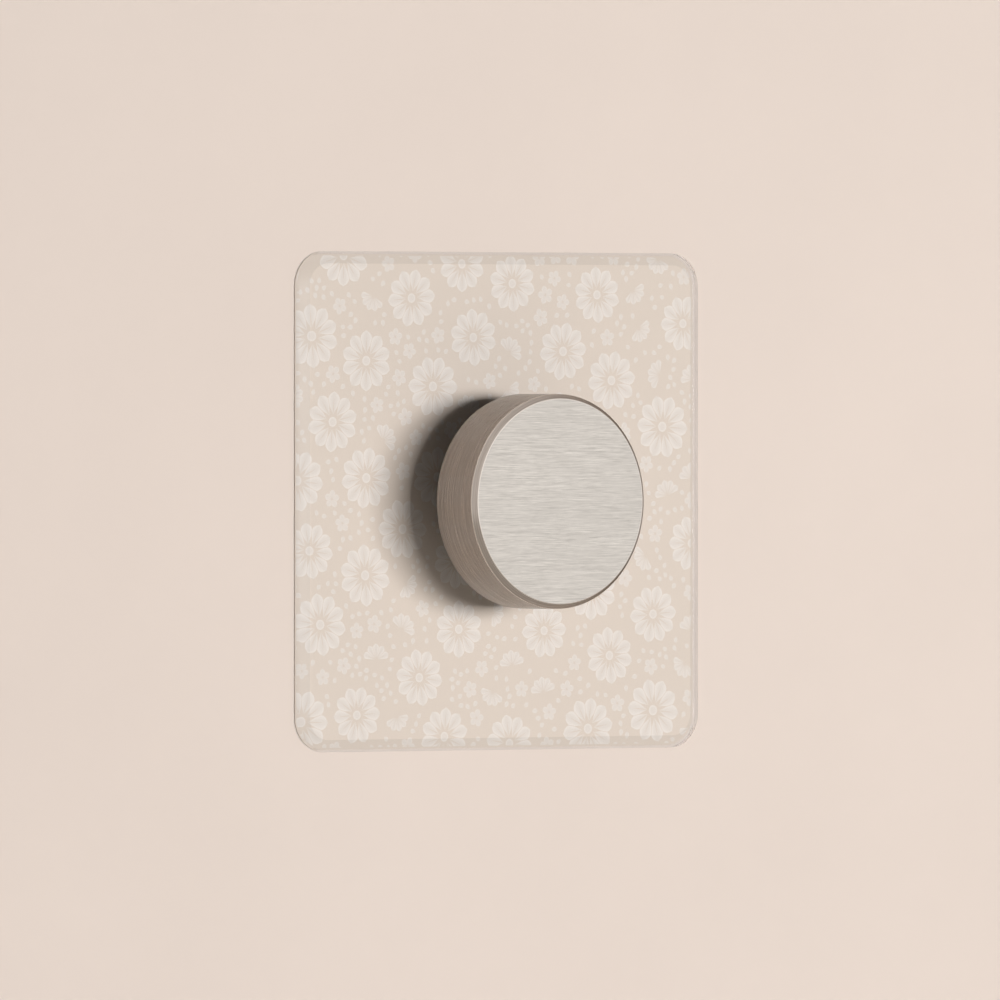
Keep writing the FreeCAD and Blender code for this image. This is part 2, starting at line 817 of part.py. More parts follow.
def module_cover():
    """The moulded rear housing: posts, board ledges, wire entries, screw holes and vents."""
    outer = slab(module_width, module_height, module_corner, sink_back, cover_back)
    outer = outer.makeFillet(rear_rounding, rear_edges(outer, cover_back))
    inner = slab(inner_width, inner_height, module_corner - cover_wall, sink_back - over, cover_inside)
    shell = outer.cut(inner)
    rooted = cover_inside + cover_wall / 2
    posts = [rod(post_diameter / 2, sink_back, rooted, x, z) for x, z in post_places]
    reach = board_rib_depth + cover_wall / 2
    side_x = (inner_width + cover_wall - reach) / 2
    top_z = (inner_height + cover_wall - reach) / 2
    ledges = [
        block(reach, board_back, rooted, board_rib_width, x, z)
        for x in (-side_x, side_x)
        for z in (-ledge_spread, ledge_spread)
    ]
    ledges.append(block(board_rib_width, board_back, rooted, reach, 0, top_z))
    shell = fuse_all([shell] + posts + ledges)
    tools = []
    pilot = cover_screw_diameter / 2 + screw_gap
    for x, z in post_places:
        tools.append(rod(pilot, sink_back - over, frame_thickness + cover_screw_length + over, x, z))
    front, back = cover_inside - over, cover_back + over
    for x, z in terminal_places:
        tools.append(rod(screw_access_hole / 2, front, back, x, z))
        tools.append(wire_entry(-module_height / 2, cover_wall, x))
    for i in range(vent_count):
        x = (i - (vent_count - 1) / 2) * vent_pitch
        tools.append(block(vent_width, front, back, vent_height, x, vent_middle))
    return cut_all(shell, tools)


def wire_entry(bottom, wall, x):
    """A tool for the hole that lets a wire up through a wall at the bottom of the module."""
    return Part.makeCylinder(wire_hole / 2, wall + 2 * over, Vec(x, terminal_y, bottom - over), Vec(0, 0, 1))


def rear_edges(solid, y):
    """The edges that lie whole in the plane at y."""
    boxes = [(e, e.BoundBox) for e in solid.Edges]
    return [e for e, box in boxes if abs(box.YMin - y) < tolerance and abs(box.YMax - y) < tolerance]


def pin_places():
    """Where round pins go through the board: (x, z) of each."""
    places = [(side * contact_spacing / 2, 0) for side in (-1, 1)]
    places += film_pin_places() + tail_places() + electrolytic_pin_places()
    return places + absorber_pin_places() + resistor_pin_places() + terminal_places


def circuit_board():
    width, height = inner_width - 2 * board_gap, inner_height - 2 * board_gap
    board = block(width, board_front, board_back, height)
    front, back = board_front - over, board_back + over
    tools = [
        block(2 * (post_diameter / 2 + board_post_gap) + board_gap, front, back,
              2 * (post_diameter / 2 + board_post_gap) + board_gap,
              x + math.copysign(board_gap, x), z + math.copysign(board_gap, z))
        for x, z in post_places
    ]
    tools += [rod(pin_wire / 2 + screw_gap, front, back, x, z) for x, z in pin_places()]
    slots = [(x, pot_leg_z(), pot_leg_width, pot_leg_sheet) for x in pot_leg_places()]
    slots += [(x, lead_z, lead_width, lead_sheet) for x in lead_places()]
    for x, z, width, sheet in slots:
        tools.append(block(width + 2 * screw_gap, front, back, sheet + 2 * screw_gap, x, z))
    return cut_all(board, tools)


# Potentiometer


def pot_bush():
    """A die-cast bush: the square plate lies behind the heat sink, the threaded barrel comes forward."""
    plate = slab(pot_side, pot_side, pot_corner, sink_back, bush_plate_back)
    barrel = turned(
        [
            (0, bush_end),
            (thread_radius - thread_chamfer, bush_end),
            (thread_radius, bush_end + thread_chamfer),
            (thread_radius, sink_back + bite),
            (0, sink_back + bite),
        ]
    )
    barrel = barrel.common(block(thread_flats, bush_end, sink_back + bite, thread_diameter + over))
    bore = rod(spindle_radius + running_gap, bush_end - over, bush_plate_back + over)
    return cut_all(fuse_all([plate, barrel]), [bore] + pot_rivet_holes())


def pot_rivet_places():
    reach = pot_side / 2 - pot_rivet_inset
    return [(x, z) for x in (-reach, reach) for z in (-reach, reach)]


def pot_rivet_holes():
    radius = pot_rivet_diameter / 2
    return [rod(radius, sink_back - over, wafer_back + over, x, z) for x, z in pot_rivet_places()]


def pot_rivets():
    """Four rivets through bush plate, case and wafer, headed behind the wafer."""
    rivets = []
    for x, z in pot_rivet_places():
        shank = rod(pot_rivet_diameter / 2, sink_back, wafer_back, x, z)
        head = rod(pot_rivet_head_diameter / 2, wafer_back, wafer_back + pot_rivet_head, x, z)
        rivets.append(fuse_all([shank, head]))
    return rivets


def pot_case():
    """The square case, with a stop inside at the bottom that the rotor's lug runs against."""
    body = slab(pot_side, pot_side, pot_corner, bush_plate_back, wafer_front)
    cavity = rotor_radius + rotor_cavity_gap
    body = body.cut(rod(cavity, bush_plate_back - over, wafer_front + over))
    stop_angle = 2 * (180 - rotor_turn - rotor_stop_angle / 2 - stop_spare)
    inner = rotor_radius - stop_height + rotor_cavity_gap
    stop = arc_block(inner, cavity + bite, bush_plate_back, rotor_back, stop_angle, 180)
    return cut_all(fuse_all([body, stop]), pot_rivet_holes())


def wiper_rotor():
    hub = rotor_hub_diameter / 2
    counterbore = spindle_flange_diameter / 2 + rotor_cavity_gap
    rim = rotor_radius - stop_height
    body = turned(
        [
            (0, rotor_floor),
            (counterbore, rotor_floor),
            (counterbore, rotor_front),
            (rim, rotor_front),
            (rim, rotor_back),
            (hub, rotor_back),
            (hub, rotor_hub_back),
            (0, rotor_hub_back),
        ]
    )
    lug = arc_block(rim - bite, rotor_radius, rotor_front, rotor_back, rotor_stop_angle, 0)
    body = fuse_all([body, lug])
    key = keyed_rod(
        spindle_key_diameter / 2 + running_gap, spindle_key_flats + 2 * running_gap,
        rotor_floor - over, rotor_hub_back + over,
    )
    return body.cut(key)


def wiper_brush():
    """A ring of spring bronze on the rotor, with two arms that bend back to the track."""
    inner, outer = rotor_hub_diameter / 2 + screw_gap, rotor_hub_diameter / 2 + brush_arm_width
    back = rotor_back + brush_sheet
    ring = turned([(inner, rotor_back), (outer, rotor_back), (outer, back), (inner, back)])
    middle = rotor_back + brush_sheet / 2
    touch = track_front - track_clearance - brush_sheet / 2
    bend = outer + brush_sheet
    end = track_radius + brush_toe
    route = [(middle, (inner + outer) / 2), (middle, bend), (touch, track_radius), (touch, end)]
    arms = []
    for side in (-1, 1):
        arm = sheet_strip(route, brush_sheet, brush_arm_width)
        arm.rotate(Vec(0, 0, 0), Vec(0, 1, 0), side * brush_spread / 2)
        arms.append(arm)
    return fuse_all([ring] + arms)


def carbon_track():
    """An arc of resistive film on the wafer, open at the bottom."""
    half = track_width / 2
    return arc_block(
        track_radius - half, track_radius + half, track_front, wafer_front, 360 - track_gap_angle, 0
    )


def track_wafer():
    board = slab(pot_side, pot_side, pot_corner, wafer_front, wafer_back)
    hub_hole = rod(rotor_hub_diameter / 2 + wafer_hole_gap, wafer_front - over, wafer_back + over)
    return cut_all(board, [hub_hole] + pot_rivet_holes())


def pot_leg_places():
    return [i * pot_leg_pitch for i in (-1, 0, 1)]


def pot_leg_z():
    return -pot_side / 2 - pot_leg_sheet / 2


def pot_legs():
    """Three sheet legs that hold the wafer's lower edge and go back through the board."""
    legs = []
    z = pot_leg_z()
    for x in pot_leg_places():
        leg = block(pot_leg_width, wafer_front, board_back + pin_tail, pot_leg_sheet, x, z)
        legs.append(leg)
    return legs


# Push switch


def switch_case():
    outer = slab(switch_width, switch_height, switch_corner, wafer_back, base_front)
    inner = block(
        switch_width - 2 * switch_wall, switch_inside, base_front + over, switch_height - 2 * switch_wall
    )
    hole = rod(spindle_tip_diameter / 2 + switch_hole_gap, wafer_back - over, switch_inside + over)
    return outer.cut(inner).cut(hole)


def switch_base():
    """The rear lid of the switch, with a pip that centres the spring."""
    lid = slab(switch_width, switch_height, switch_corner, base_front, board_front)
    pip_radius = spring_radius - spring_wire / 2 - spring_gap
    pip = rod(pip_radius, base_front - spring_pip, base_front + bite)
    holes = [
        rod(pin_wire / 2 + screw_gap, base_front - over, board_front + over, side * contact_spacing / 2, 0)
        for side in (-1, 1)
    ]
    return cut_all(fuse_all([lid, pip]), holes)


def plunger():
    """A small moulded cup, open at the back over the spring, with an arm each side for the bridge."""
    cup = turned(
        [
            (0, plunger_front),
            (plunger_radius, plunger_front),
            (plunger_radius, plunger_back),
            (plunger_radius - plunger_wall, plunger_back),
            (plunger_radius - plunger_wall, plunger_inside),
            (0, plunger_inside),
        ]
    )
    arms = block(plunger_arm_length, plunger_front, arm_back, plunger_arm_width)
    arms = arms.cut(rod(plunger_radius - plunger_wall / 2, plunger_front - over, arm_back + over))
    return fuse_all([cup, arms])


def contact_bridge():
    """A bronze strip behind the plunger's arms, cut away round the cup."""
    back = arm_back + bridge_sheet
    strip = block(plunger_arm_length, arm_back, back, plunger_arm_width)
    ring = rod(plunger_radius + bridge_ring, arm_back, back)
    window = rod(plunger_radius, arm_back - over, back + over)
    return fuse_all([strip, ring]).cut(window)


def fixed_contacts():
    """Two contacts in the switch's lid. The bridge joins them when the knob is pushed in."""
    top = arm_back + bridge_sheet + push_travel + contact_closed_gap
    contacts = []
    for side in (-1, 1):
        x = side * contact_spacing / 2
        pad = rod(contact_width / 2, top, base_front, x, 0)
        pin = rod(pin_wire / 2, base_front - contact_sheet, board_back + pin_tail, x, 0)
        contacts.append(fuse_all([pad, pin]))
    return contacts


def return_spring():
    """A compression spring between the plunger's face and the switch's lid."""
    length = base_front - plunger_inside - spring_wire
    helix = Part.makeHelix(length / spring_turns, length, spring_radius)
    corners = [
        Vec(
            spring_radius + spring_wire / 2 * math.cos(i * 2 * math.pi / spring_wire_sides),
            0,
            spring_wire / 2 * math.sin(i * 2 * math.pi / spring_wire_sides),
        )
        for i in range(spring_wire_sides)
    ]
    profile = Part.makePolygon(corners + corners[:1])
    coil = Part.Wire(helix).makePipeShell([profile], True, True)
    coil.rotate(Vec(0, 0, 0), Vec(1, 0, 0), -90)
    coil.translate(Vec(0, plunger_inside + spring_wire / 2, 0))
    return coil


# Power transistor


def lead_places():
    return [transistor_x + i * lead_pitch for i in (-1, 0, 1)]


def thermal_sheet():
    width = transistor_width + 2 * thermal_margin
    height = body_height + tab_height + 2 * thermal_margin
    sheet = block(width, sink_back, transistor_front, height, transistor_x, 0)
    hole = rod(
        transistor_screw_diameter / 2 + screw_gap, sink_back - over, sink_back + over,
        transistor_x, transistor_hole_z,
    )
    return sheet.cut(hole)


def transistor_tab():
    back = transistor_front + tab_thickness
    height = body_height + tab_height - tab_setback
    tab = block(transistor_width, transistor_front, back, height, transistor_x, tab_setback / 2)
    hole = rod(
        transistor_screw_diameter / 2 + screw_gap, transistor_front - over, back + over,
        transistor_x, transistor_hole_z,
    )
    return tab.cut(hole)


def transistor_body():
    back = transistor_front + body_thickness
    middle_z = transistor_base_z + body_height / 2
    body = block(transistor_width, transistor_front, back, body_height, transistor_x, middle_z)
    body = body.makeChamfer(box_edge, rear_edges(body, back))
    return cut_all(body, [transistor_tab()] + transistor_leads())


def lead_shape(x):
    start = transistor_base_z + lead_root
    depth = transistor_front + lead_level
    points = [(depth, start), (depth, lead_z), (board_back + pin_tail, lead_z)]
    return sheet_strip(points, lead_sheet, lead_width, x)


def transistor_leads():
    return [lead_shape(x) for x in lead_places()]


def transistor_screw():
    end = frame_thickness + transistor_screw_end_gap
    seat = transistor_front + tab_thickness
    back = seat + transistor_screw_head
    radius, head = transistor_screw_diameter / 2, transistor_screw_head_diameter / 2
    screw = turned(
        [(0, end), (radius, end), (radius, seat), (head, seat), (head, back), (0, back)],
        transistor_x,
        transistor_hole_z,
    )
    length = transistor_screw_head_diameter + over
    return slotted(screw, back, transistor_x, transistor_hole_z, small_slot_width, length, -slot_depth)


# Parts on the board


def film_capacitor():
    x, z = film_capacitor_place
    body = block(film_width, board_front - film_depth, board_front, film_height, x, z)
    return body.makeChamfer(box_edge, [e for e in body.Edges if e.BoundBox.YMax < board_front - tolerance])


def film_pin_places():
    x, z = film_capacitor_place
    return [(x, z + side * film_height * film_pin_share) for side in (-1, 1)]


def film_capacitor_pins():
    return [rod(pin_wire / 2, board_front, board_back + pin_tail, x, z) for x, z in film_pin_places()]


def choke_core():
    x, z = choke_place
    inner, outer = choke_inner_diameter / 2, choke_outer_diameter / 2
    front, back, ease = choke_base, choke_base + choke_height, core_ease
    return turned(
        [
            (inner, front + ease), (inner + ease, front), (outer - ease, front), (outer, front + ease),
            (outer, back - ease), (outer - ease, back), (inner + ease, back), (inner, back - ease),
        ],
        x,
        z,
    )


def choke_winding():
    """Turns of flat enamelled wire round the core, each a closed loop with clipped corners."""
    x, z = choke_place
    inner, outer = choke_inner_diameter / 2, choke_outer_diameter / 2
    front, back = choke_base, choke_base + choke_height
    middle_x, middle_y = (inner + outer) / 2, (front + back) / 2
    turns = []
    for i in range(choke_turns):
        rings = []
        for spread in (winding_gap, winding_gap + winding_wire):
            width, depth = outer - inner + 2 * spread, back - front + 2 * spread
            bend = spread * (2 - math.sqrt(2)) + winding_bend
            rings.append(clipped_slab(width, depth, bend, -winding_wire / 2, winding_wire / 2))
        turn = rings[1].cut(rings[0])
        turn.rotate(Vec(0, 0, 0), Vec(1, 0, 0), 90)
        turn.translate(Vec(middle_x, middle_y, 0))
        share = (i + 0.5) / choke_turns - 0.5
        turn.rotate(Vec(0, 0, 0), Vec(0, 1, 0), share * winding_angle - 90)
        turn.translate(Vec(x, 0, z))
        turns.append(turn)
    return turns


def choke_tails():
    """The two ends of the winding, straight down through the board beside the core."""
    return [rod(pin_wire / 2, board_front - pin_tail, board_back + tail_rise, x, z) for x, z in tail_places()]


def tail_places():
    return [(choke_x + side * tail_pitch / 2, tail_z) for side in (-1, 1)]


def electrolytic_capacitor():
    """A rolled can with the crimp near its foot and a domed rubber end on the board."""
    x, z = electrolytic_place
    radius, foot, top = electrolytic_diameter / 2, board_back, board_back + electrolytic_height
    low, waist = foot + crimp_start, radius - crimp_depth
    bottom = low + crimp_slope
    return turned(
        [
            (0, foot), (radius - can_edge, foot), (radius, foot + can_edge), (radius, low),
            (waist, bottom), (waist, bottom + crimp_depth), (radius, bottom + crimp_depth + crimp_slope),
            (radius, top - can_edge), (radius - can_edge, top), (0, top),
        ],
        x,
        z,
    )


def electrolytic_pin_places():
    x, z = electrolytic_place
    return [(x + side * electrolytic_pitch / 2, z) for side in (-1, 1)]


def electrolytic_pins():
    return [rod(pin_wire / 2, board_front - pin_tail, board_back, x, z) for x, z in electrolytic_pin_places()]


def resistors():
    """Axial resistors: a slim barrel with a fuller cap at each end."""
    bodies = []
    cap, waist = resistor_diameter / 2, resistor_waist / 2
    for x, z in resistor_places:
        left, right = x - resistor_length / 2, x + resistor_length / 2
        profile = [
            (left, 0), (left, cap), (left + resistor_cap, cap),
            (left + resistor_cap + resistor_slope, waist), (right - resistor_cap - resistor_slope, waist),
            (right - resistor_cap, cap), (right, cap), (right, 0),
        ]
        corners = [Vec(along, resistor_axis + out, z) for along, out in profile]
        face = Part.Face(Part.makePolygon(corners + corners[:1]))
        bodies.append(face.revolve(Vec(x, resistor_axis, z), Vec(1, 0, 0), 360))
    return bodies


def resistor_pin_places():
    return [(x + side * resistor_span / 2, z) for x, z in resistor_places for side in (-1, 1)]


def resistor_leads():
    """One bent wire at each end: out of the cap, then down through the board."""
    leads = []
    radius, axis = thin_wire / 2, resistor_axis
    for x, z in resistor_places:
        for side in (-1, 1):
            out = resistor_span / 2
            start = x + side * resistor_length / 2
            reach = out - resistor_length / 2
            along = Part.makeCylinder(radius, reach, Vec(start, axis, z), Vec(side, 0, 0))
            down = rod(radius, board_front - pin_tail, axis, x + side * out, z)
            leads.append(fuse_all([along, down]))
    return leads


def fuse_link():
    x, z = fuse_place
    radius, top = fuse_diameter / 2, board_back + fuse_height
    return turned(
        [
            (0, board_back),
            (radius, board_back),
            (radius, top - fuse_edge),
            (radius - fuse_edge, top),
            (0, top),
        ],
        x,
        z,
    )


def surge_absorber():
    """A coated disc that stands on edge on the board."""
    thickness, diameter = absorber_size
    start = Vec(absorber_x - thickness / 2, board_back + absorber_lift + diameter / 2, absorber_z)
    disc = Part.makeCylinder(diameter / 2, thickness, start, Vec(1, 0, 0))
    return disc.makeChamfer(absorber_edge, [e for e in disc.Edges if e.Length > diameter])


def absorber_pin_places():
    spread = absorber_size[1] * absorber_pin_share
    return [(absorber_x, absorber_z + side * spread) for side in (-1, 1)]


def absorber_pins():
    """Two wires that end on the disc's lower edge."""
    end = board_back + absorber_lift + absorber_size[1] / 2
    disc = surge_absorber()
    return [
        rod(thin_wire / 2, board_front - pin_tail, end, x, z).cut(disc) for x, z in absorber_pin_places()
    ]


def rectifier():
    width, depth, height = rectifier_size
    x, z = rectifier_place
    body = block(width, board_back, board_back + depth, height, x, z)
    return body.makeChamfer(box_edge, rear_edges(body, board_back + depth))


def control_chip():
    width, depth, height = chip_size
    x, z = chip_place
    front = board_back + chip_lift
    body = block(width, front, front + depth, height, x, z)
    return body.makeChamfer(chip_edge, rear_edges(body, front + depth))


def chip_legs():
    """Gull-wing legs along both long sides of the control chip."""
    x, z = chip_place
    level, foot = board_back + chip_leg_level, board_back + chip_leg_sheet / 2
    legs = []
    for side in (-1, 1):
        edge = z + side * chip_size[2] / 2
        bend = edge + side * chip_leg_reach
        low = bend + side * chip_leg_slant
        points = [(level, edge), (level, bend), (foot, low), (foot, low + side * chip_foot)]
        for i in range(chip_pin_count):
            leg_x = x + (i - (chip_pin_count - 1) / 2) * chip_pin_pitch
            legs.append(sheet_strip(points, chip_leg_sheet, chip_leg_width, leg_x))
    return legs


# Mains terminals


def terminal_block():
    """A moulded shroud with a chamber for each brass terminal."""
    height = block_length
    z = block_bottom + height / 2
    body = block(block_width, board_back, block_back, height, 0, z)
    tools = []
    for x, terminal_middle in terminal_places:
        tools.append(
            block(
                terminal_width + 2 * block_gap, board_back - over, terminal_back + block_gap,
                terminal_length + 2 * block_gap, x, terminal_middle,
            )
        )
        head_hole = terminal_screw_head_diameter / 2 + block_gap
        tools.append(rod(head_hole, terminal_back, block_back + over, x, terminal_middle))
        tools.append(wire_entry(block_bottom, block_wall, x))
    return cut_all(body, tools)


def terminal_bodies():
    bodies = []
    for x, z in terminal_places:
        body = clamp_body(
            terminal_width, terminal_length, terminal_height, terminal_bore, terminal_bore_height,
            board_back + terminal_foot, x, z, terminal_screw_diameter / 2,
        )
        foot = rod(terminal_foot_diameter / 2, board_back, board_back + terminal_foot + bite, x, z)
        pin = rod(pin_wire / 2, board_front - pin_tail, board_back + bite, x, z)
        bodies.append(fuse_all([body, foot, pin]))
    return bodies


def terminal_screws():
    tip = terminal_y + terminal_bore / 2
    return [
        clamp_screw(
            terminal_screw_diameter / 2, terminal_screw_head_diameter / 2, terminal_screw_head,
            tip, terminal_back, terminal_screw_lift, x, z,
        )
        for x, z in terminal_places
    ]


NODES = {
    "front_plate": front_plate,
    "paper_sheet": paper_sheet,
    "plate_washer": plate_washer,
    "plate_nut": plate_nut,
    "knob_shell": knob_shell,
    "knob_insert": knob_insert,
    "knob_clip": knob_clip,
    "spindle": spindle,
    "mounting_frame": mounting_frame,
    "box_screws": box_screws,
    "module_screws": module_screws,
    "earth_terminal": earth_terminal,
    "earth_screw": earth_screw,
    "heat_sink": heat_sink,
    "module_cover": module_cover,
    "cover_screws": cover_screws,
    "circuit_board": circuit_board,
    "pot_bush": pot_bush,
    "pot_case": pot_case,
    "pot_rivets": pot_rivets,
    "wiper_rotor": wiper_rotor,
    "wiper_brush": wiper_brush,
    "carbon_track": carbon_track,
    "track_wafer": track_wafer,
    "pot_legs": pot_legs,
    "switch_case": switch_case,
    "switch_base": switch_base,
    "plunger": plunger,
    "contact_bridge": contact_bridge,
    "fixed_contacts": fixed_contacts,
    "return_spring": return_spring,
    "thermal_sheet": thermal_sheet,
    "transistor_tab": transistor_tab,
    "transistor_body": transistor_body,
    "transistor_leads": transistor_leads,
    "transistor_screw": transistor_screw,
    "film_capacitor": film_capacitor,
    "film_capacitor_pins": film_capacitor_pins,
    "choke_core": choke_core,
    "choke_winding": choke_winding,
    "choke_tails": choke_tails,
    "electrolytic_capacitor": electrolytic_capacitor,
    "electrolytic_pins": electrolytic_pins,
    "resistors": resistors,
    "resistor_leads": resistor_leads,
    "fuse_link": fuse_link,
    "surge_absorber": surge_absorber,
    "absorber_pins": absorber_pins,
    "rectifier": rectifier,
    "control_chip": control_chip,
    "chip_legs": chip_legs,
    "terminal_block": terminal_block,
    "terminal_bodies": terminal_bodies,
    "terminal_screws": terminal_screws,
}


def main():
    os.makedirs("parts", exist_ok=True)
    for name, make in NODES.items():
        made = make()
        shape = Part.makeCompound(made) if isinstance(made, list) else made
        shape.exportStep("parts/" + name + ".step")
        print(name, len(shape.Solids), "solid(s)", round(shape.Volume, 2), "mm3")


main()
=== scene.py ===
import json
import math

import bmesh
import bpy
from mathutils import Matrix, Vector


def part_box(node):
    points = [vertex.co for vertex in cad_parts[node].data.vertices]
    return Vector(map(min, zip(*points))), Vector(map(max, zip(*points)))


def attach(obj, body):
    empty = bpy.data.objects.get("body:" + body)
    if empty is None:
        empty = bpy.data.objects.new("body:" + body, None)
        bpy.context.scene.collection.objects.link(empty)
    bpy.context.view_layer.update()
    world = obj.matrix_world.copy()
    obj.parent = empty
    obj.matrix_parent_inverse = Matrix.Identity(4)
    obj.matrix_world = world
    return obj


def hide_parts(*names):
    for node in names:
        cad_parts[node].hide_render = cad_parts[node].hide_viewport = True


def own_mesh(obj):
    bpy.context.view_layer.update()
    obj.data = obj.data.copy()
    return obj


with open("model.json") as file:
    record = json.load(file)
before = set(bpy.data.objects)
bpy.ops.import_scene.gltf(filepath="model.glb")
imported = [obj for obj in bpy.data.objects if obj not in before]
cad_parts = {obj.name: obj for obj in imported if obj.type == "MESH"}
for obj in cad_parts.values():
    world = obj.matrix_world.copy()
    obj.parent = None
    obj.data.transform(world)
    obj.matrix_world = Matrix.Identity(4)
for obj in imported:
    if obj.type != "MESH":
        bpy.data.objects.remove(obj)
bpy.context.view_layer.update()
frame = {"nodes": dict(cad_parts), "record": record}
nodes = frame["nodes"]
mm = 0.001
weld = 1e-7  # points nearer to each other than this, in metres, are one
print("frame loaded,", len(nodes), "nodes")


def feed(tree, sockets, values):
    # each value is an output to link from, or the socket's own value
    for key, value in values.items():
        if isinstance(value, bpy.types.NodeSocket):
            tree.links.new(value, sockets[key])
        else:
            sockets[key].default_value = value


def addNode(tree, kind, inputs=None, **settings):
    node = tree.nodes.new(kind)
    for key, value in settings.items():
        setattr(node, key, value)
    feed(tree, node.inputs, inputs or {})
    return node


def firstOf(tree, kind, inputs, **settings):
    # the first output of a new node
    return addNode(tree, kind, inputs, **settings).outputs[0]


def maths(tree, operation, *values):
    return firstOf(tree, "ShaderNodeMath", dict(enumerate(values)), operation=operation)


def vectorMaths(tree, operation, *values):
    values = dict(enumerate(values))
    return addNode(tree, "ShaderNodeVectorMath", values, operation=operation).outputs


def remap(tree, value, fromLow, fromHigh, low, high):
    return firstOf(tree, "ShaderNodeMapRange", {0: value, 1: fromLow, 2: fromHigh, 3: low, 4: high})


def spread(tree, value, low, high):
    # turns a 0 to 1 value into the range low to high
    return remap(tree, value, 0.0, 1.0, low, high)


def mixColour(tree, factor, one, other):
    colours = {0: factor, 6: one, 7: other}
    return addNode(tree, "ShaderNodeMix", colours, data_type="RGBA").outputs[2]


def newTree(name, kind, inputs, outputs):
    tree = bpy.data.node_groups.new(name, kind)
    prefix = "NodeSocket"
    for label, socketType, value in inputs:
        socket = tree.interface.new_socket(label, in_out="INPUT", socket_type=prefix + socketType)
        if value is not None:
            socket.default_value = value
    for label, socketType in outputs:
        tree.interface.new_socket(label, in_out="OUTPUT", socket_type=prefix + socketType)
    given = addNode(tree, "NodeGroupInput").outputs
    result = addNode(tree, "NodeGroupOutput").inputs
    return tree, given, result


def linear(colour):
    # a colour as a picture shows it, 0 to 255, to the values a shader socket takes
    shares = [value / 255 for value in colour]
    values = [v / 12.92 if v <= 0.04045 else ((v + 0.055) / 1.055) ** 2.4 for v in shares]
    return (*values, 1.0)


def noise(tree, point, scale, detail, roughness, distortion=0.0):
    values = {"Vector": point, "Scale": scale, "Detail": detail, "Roughness": roughness}
    return firstOf(tree, "ShaderNodeTexNoise", {**values, "Distortion": distortion})


def inMillimetres(tree, point):
    return firstOf(tree, "ShaderNodeVectorMath", {0: point, "Scale": 1 / mm}, operation="SCALE")


def makeBrushedLines():
    # fine lines left by a belt or a lathe; Stretch says how fast they change along each axis,
    # per mm
    tree, given, result = newTree(
        "brushedLines",
        "ShaderNodeTree",
        [("Point", "Vector", None), ("Stretch", "Vector", (1.0, 1.0, 1.0))],
        [("Tone", "Float"), ("Height", "Float")],
    )
    point = inMillimetres(tree, given["Point"])
    drawn = vectorMaths(tree, "MULTIPLY", point, given["Stretch"])[0]
    moved = vectorMaths(tree, "ADD", drawn, (7.3, 2.9, 5.1))[0]
    wide = noise(tree, drawn, scale=1.0, detail=4.0, roughness=0.75)
    fine = noise(tree, moved, scale=2.7, detail=3.0, roughness=0.6)
    both = maths(tree, "ADD", wide, fine)
    feed(tree, result, {"Tone": remap(tree, both, 0.7, 1.3, 0.0, 1.0), "Height": both})
    return tree


def makeMouldedSkin():
    # the dull texture of a moulding, with slow patches where the plastic flowed
    tree, given, result = newTree(
        "mouldedSkin",
        "ShaderNodeTree",
        [
            ("Point", "Vector", None),
            ("Grain", "Float", 6.0),
            ("Patch", "Float", 0.12),
        ],
        [("Tone", "Float"), ("Height", "Float")],
    )
    point = inMillimetres(tree, given["Point"])
    patch = noise(tree, point, given["Patch"], detail=3.0, roughness=0.55)
    grain = noise(tree, point, given["Grain"], detail=2.0, roughness=0.6)
    feed(tree, result, {"Tone": remap(tree, patch, 0.3, 0.7, 0.0, 1.0), "Height": grain})
    return tree


def makeHandling():
    # faint smears and specks from handling, as a mask
    tree, given, result = newTree(
        "handling",
        "ShaderNodeTree",
        [
            ("Point", "Vector", None),
            ("Size", "Float", 0.3),
            ("Amount", "Float", 0.5),
        ],
        [("Mask", "Float")],
    )
    point = inMillimetres(tree, given["Point"])
    smear = noise(tree, point, given["Size"], detail=5.0, roughness=0.7, distortion=0.8)
    shaped = remap(tree, smear, 0.42, 0.72, 0.0, 1.0)
    feed(tree, result, {"Mask": maths(tree, "MULTIPLY", shaped, given["Amount"])})
    return tree


brushedLines = makeBrushedLines()
mouldedSkin = makeMouldedSkin()
handling = makeHandling()


def startMaterial(name):
    material = bpy.data.materials.new(name)
    material.use_nodes = True
    tree = material.node_tree
    tree.nodes.clear()
    point = addNode(tree, "ShaderNodeTexCoord").outputs["Object"]
    shader = addNode(tree, "ShaderNodeBsdfPrincipled")
    addNode(tree, "ShaderNodeOutputMaterial", {"Surface": shader.outputs[0]})
    return material, tree, point, shader


def mixSurface(tree, share, shader, other):
    # the surface becomes the shader, mixed with a share of the other one
    either = {0: share, 1: shader.outputs[0], 2: other.outputs[0]}
    both = firstOf(tree, "ShaderNodeMixShader", either)
    feed(tree, tree.get_output_node("ALL").inputs, {"Surface": both})


def placeGroup(tree, group, inputs):
    return addNode(tree, "ShaderNodeGroup", inputs, node_tree=group).outputs


def addRelief(tree, shader, height, strength, depth):
    values = {"Height": height, "Strength": strength, "Distance": depth * mm}
    feed(tree, shader.inputs, {"Normal": firstOf(tree, "ShaderNodeBump", values)})


def shade(colour, share):
    return tuple(min(1.0, value * share) for value in colour[:3]) + (1.0,)


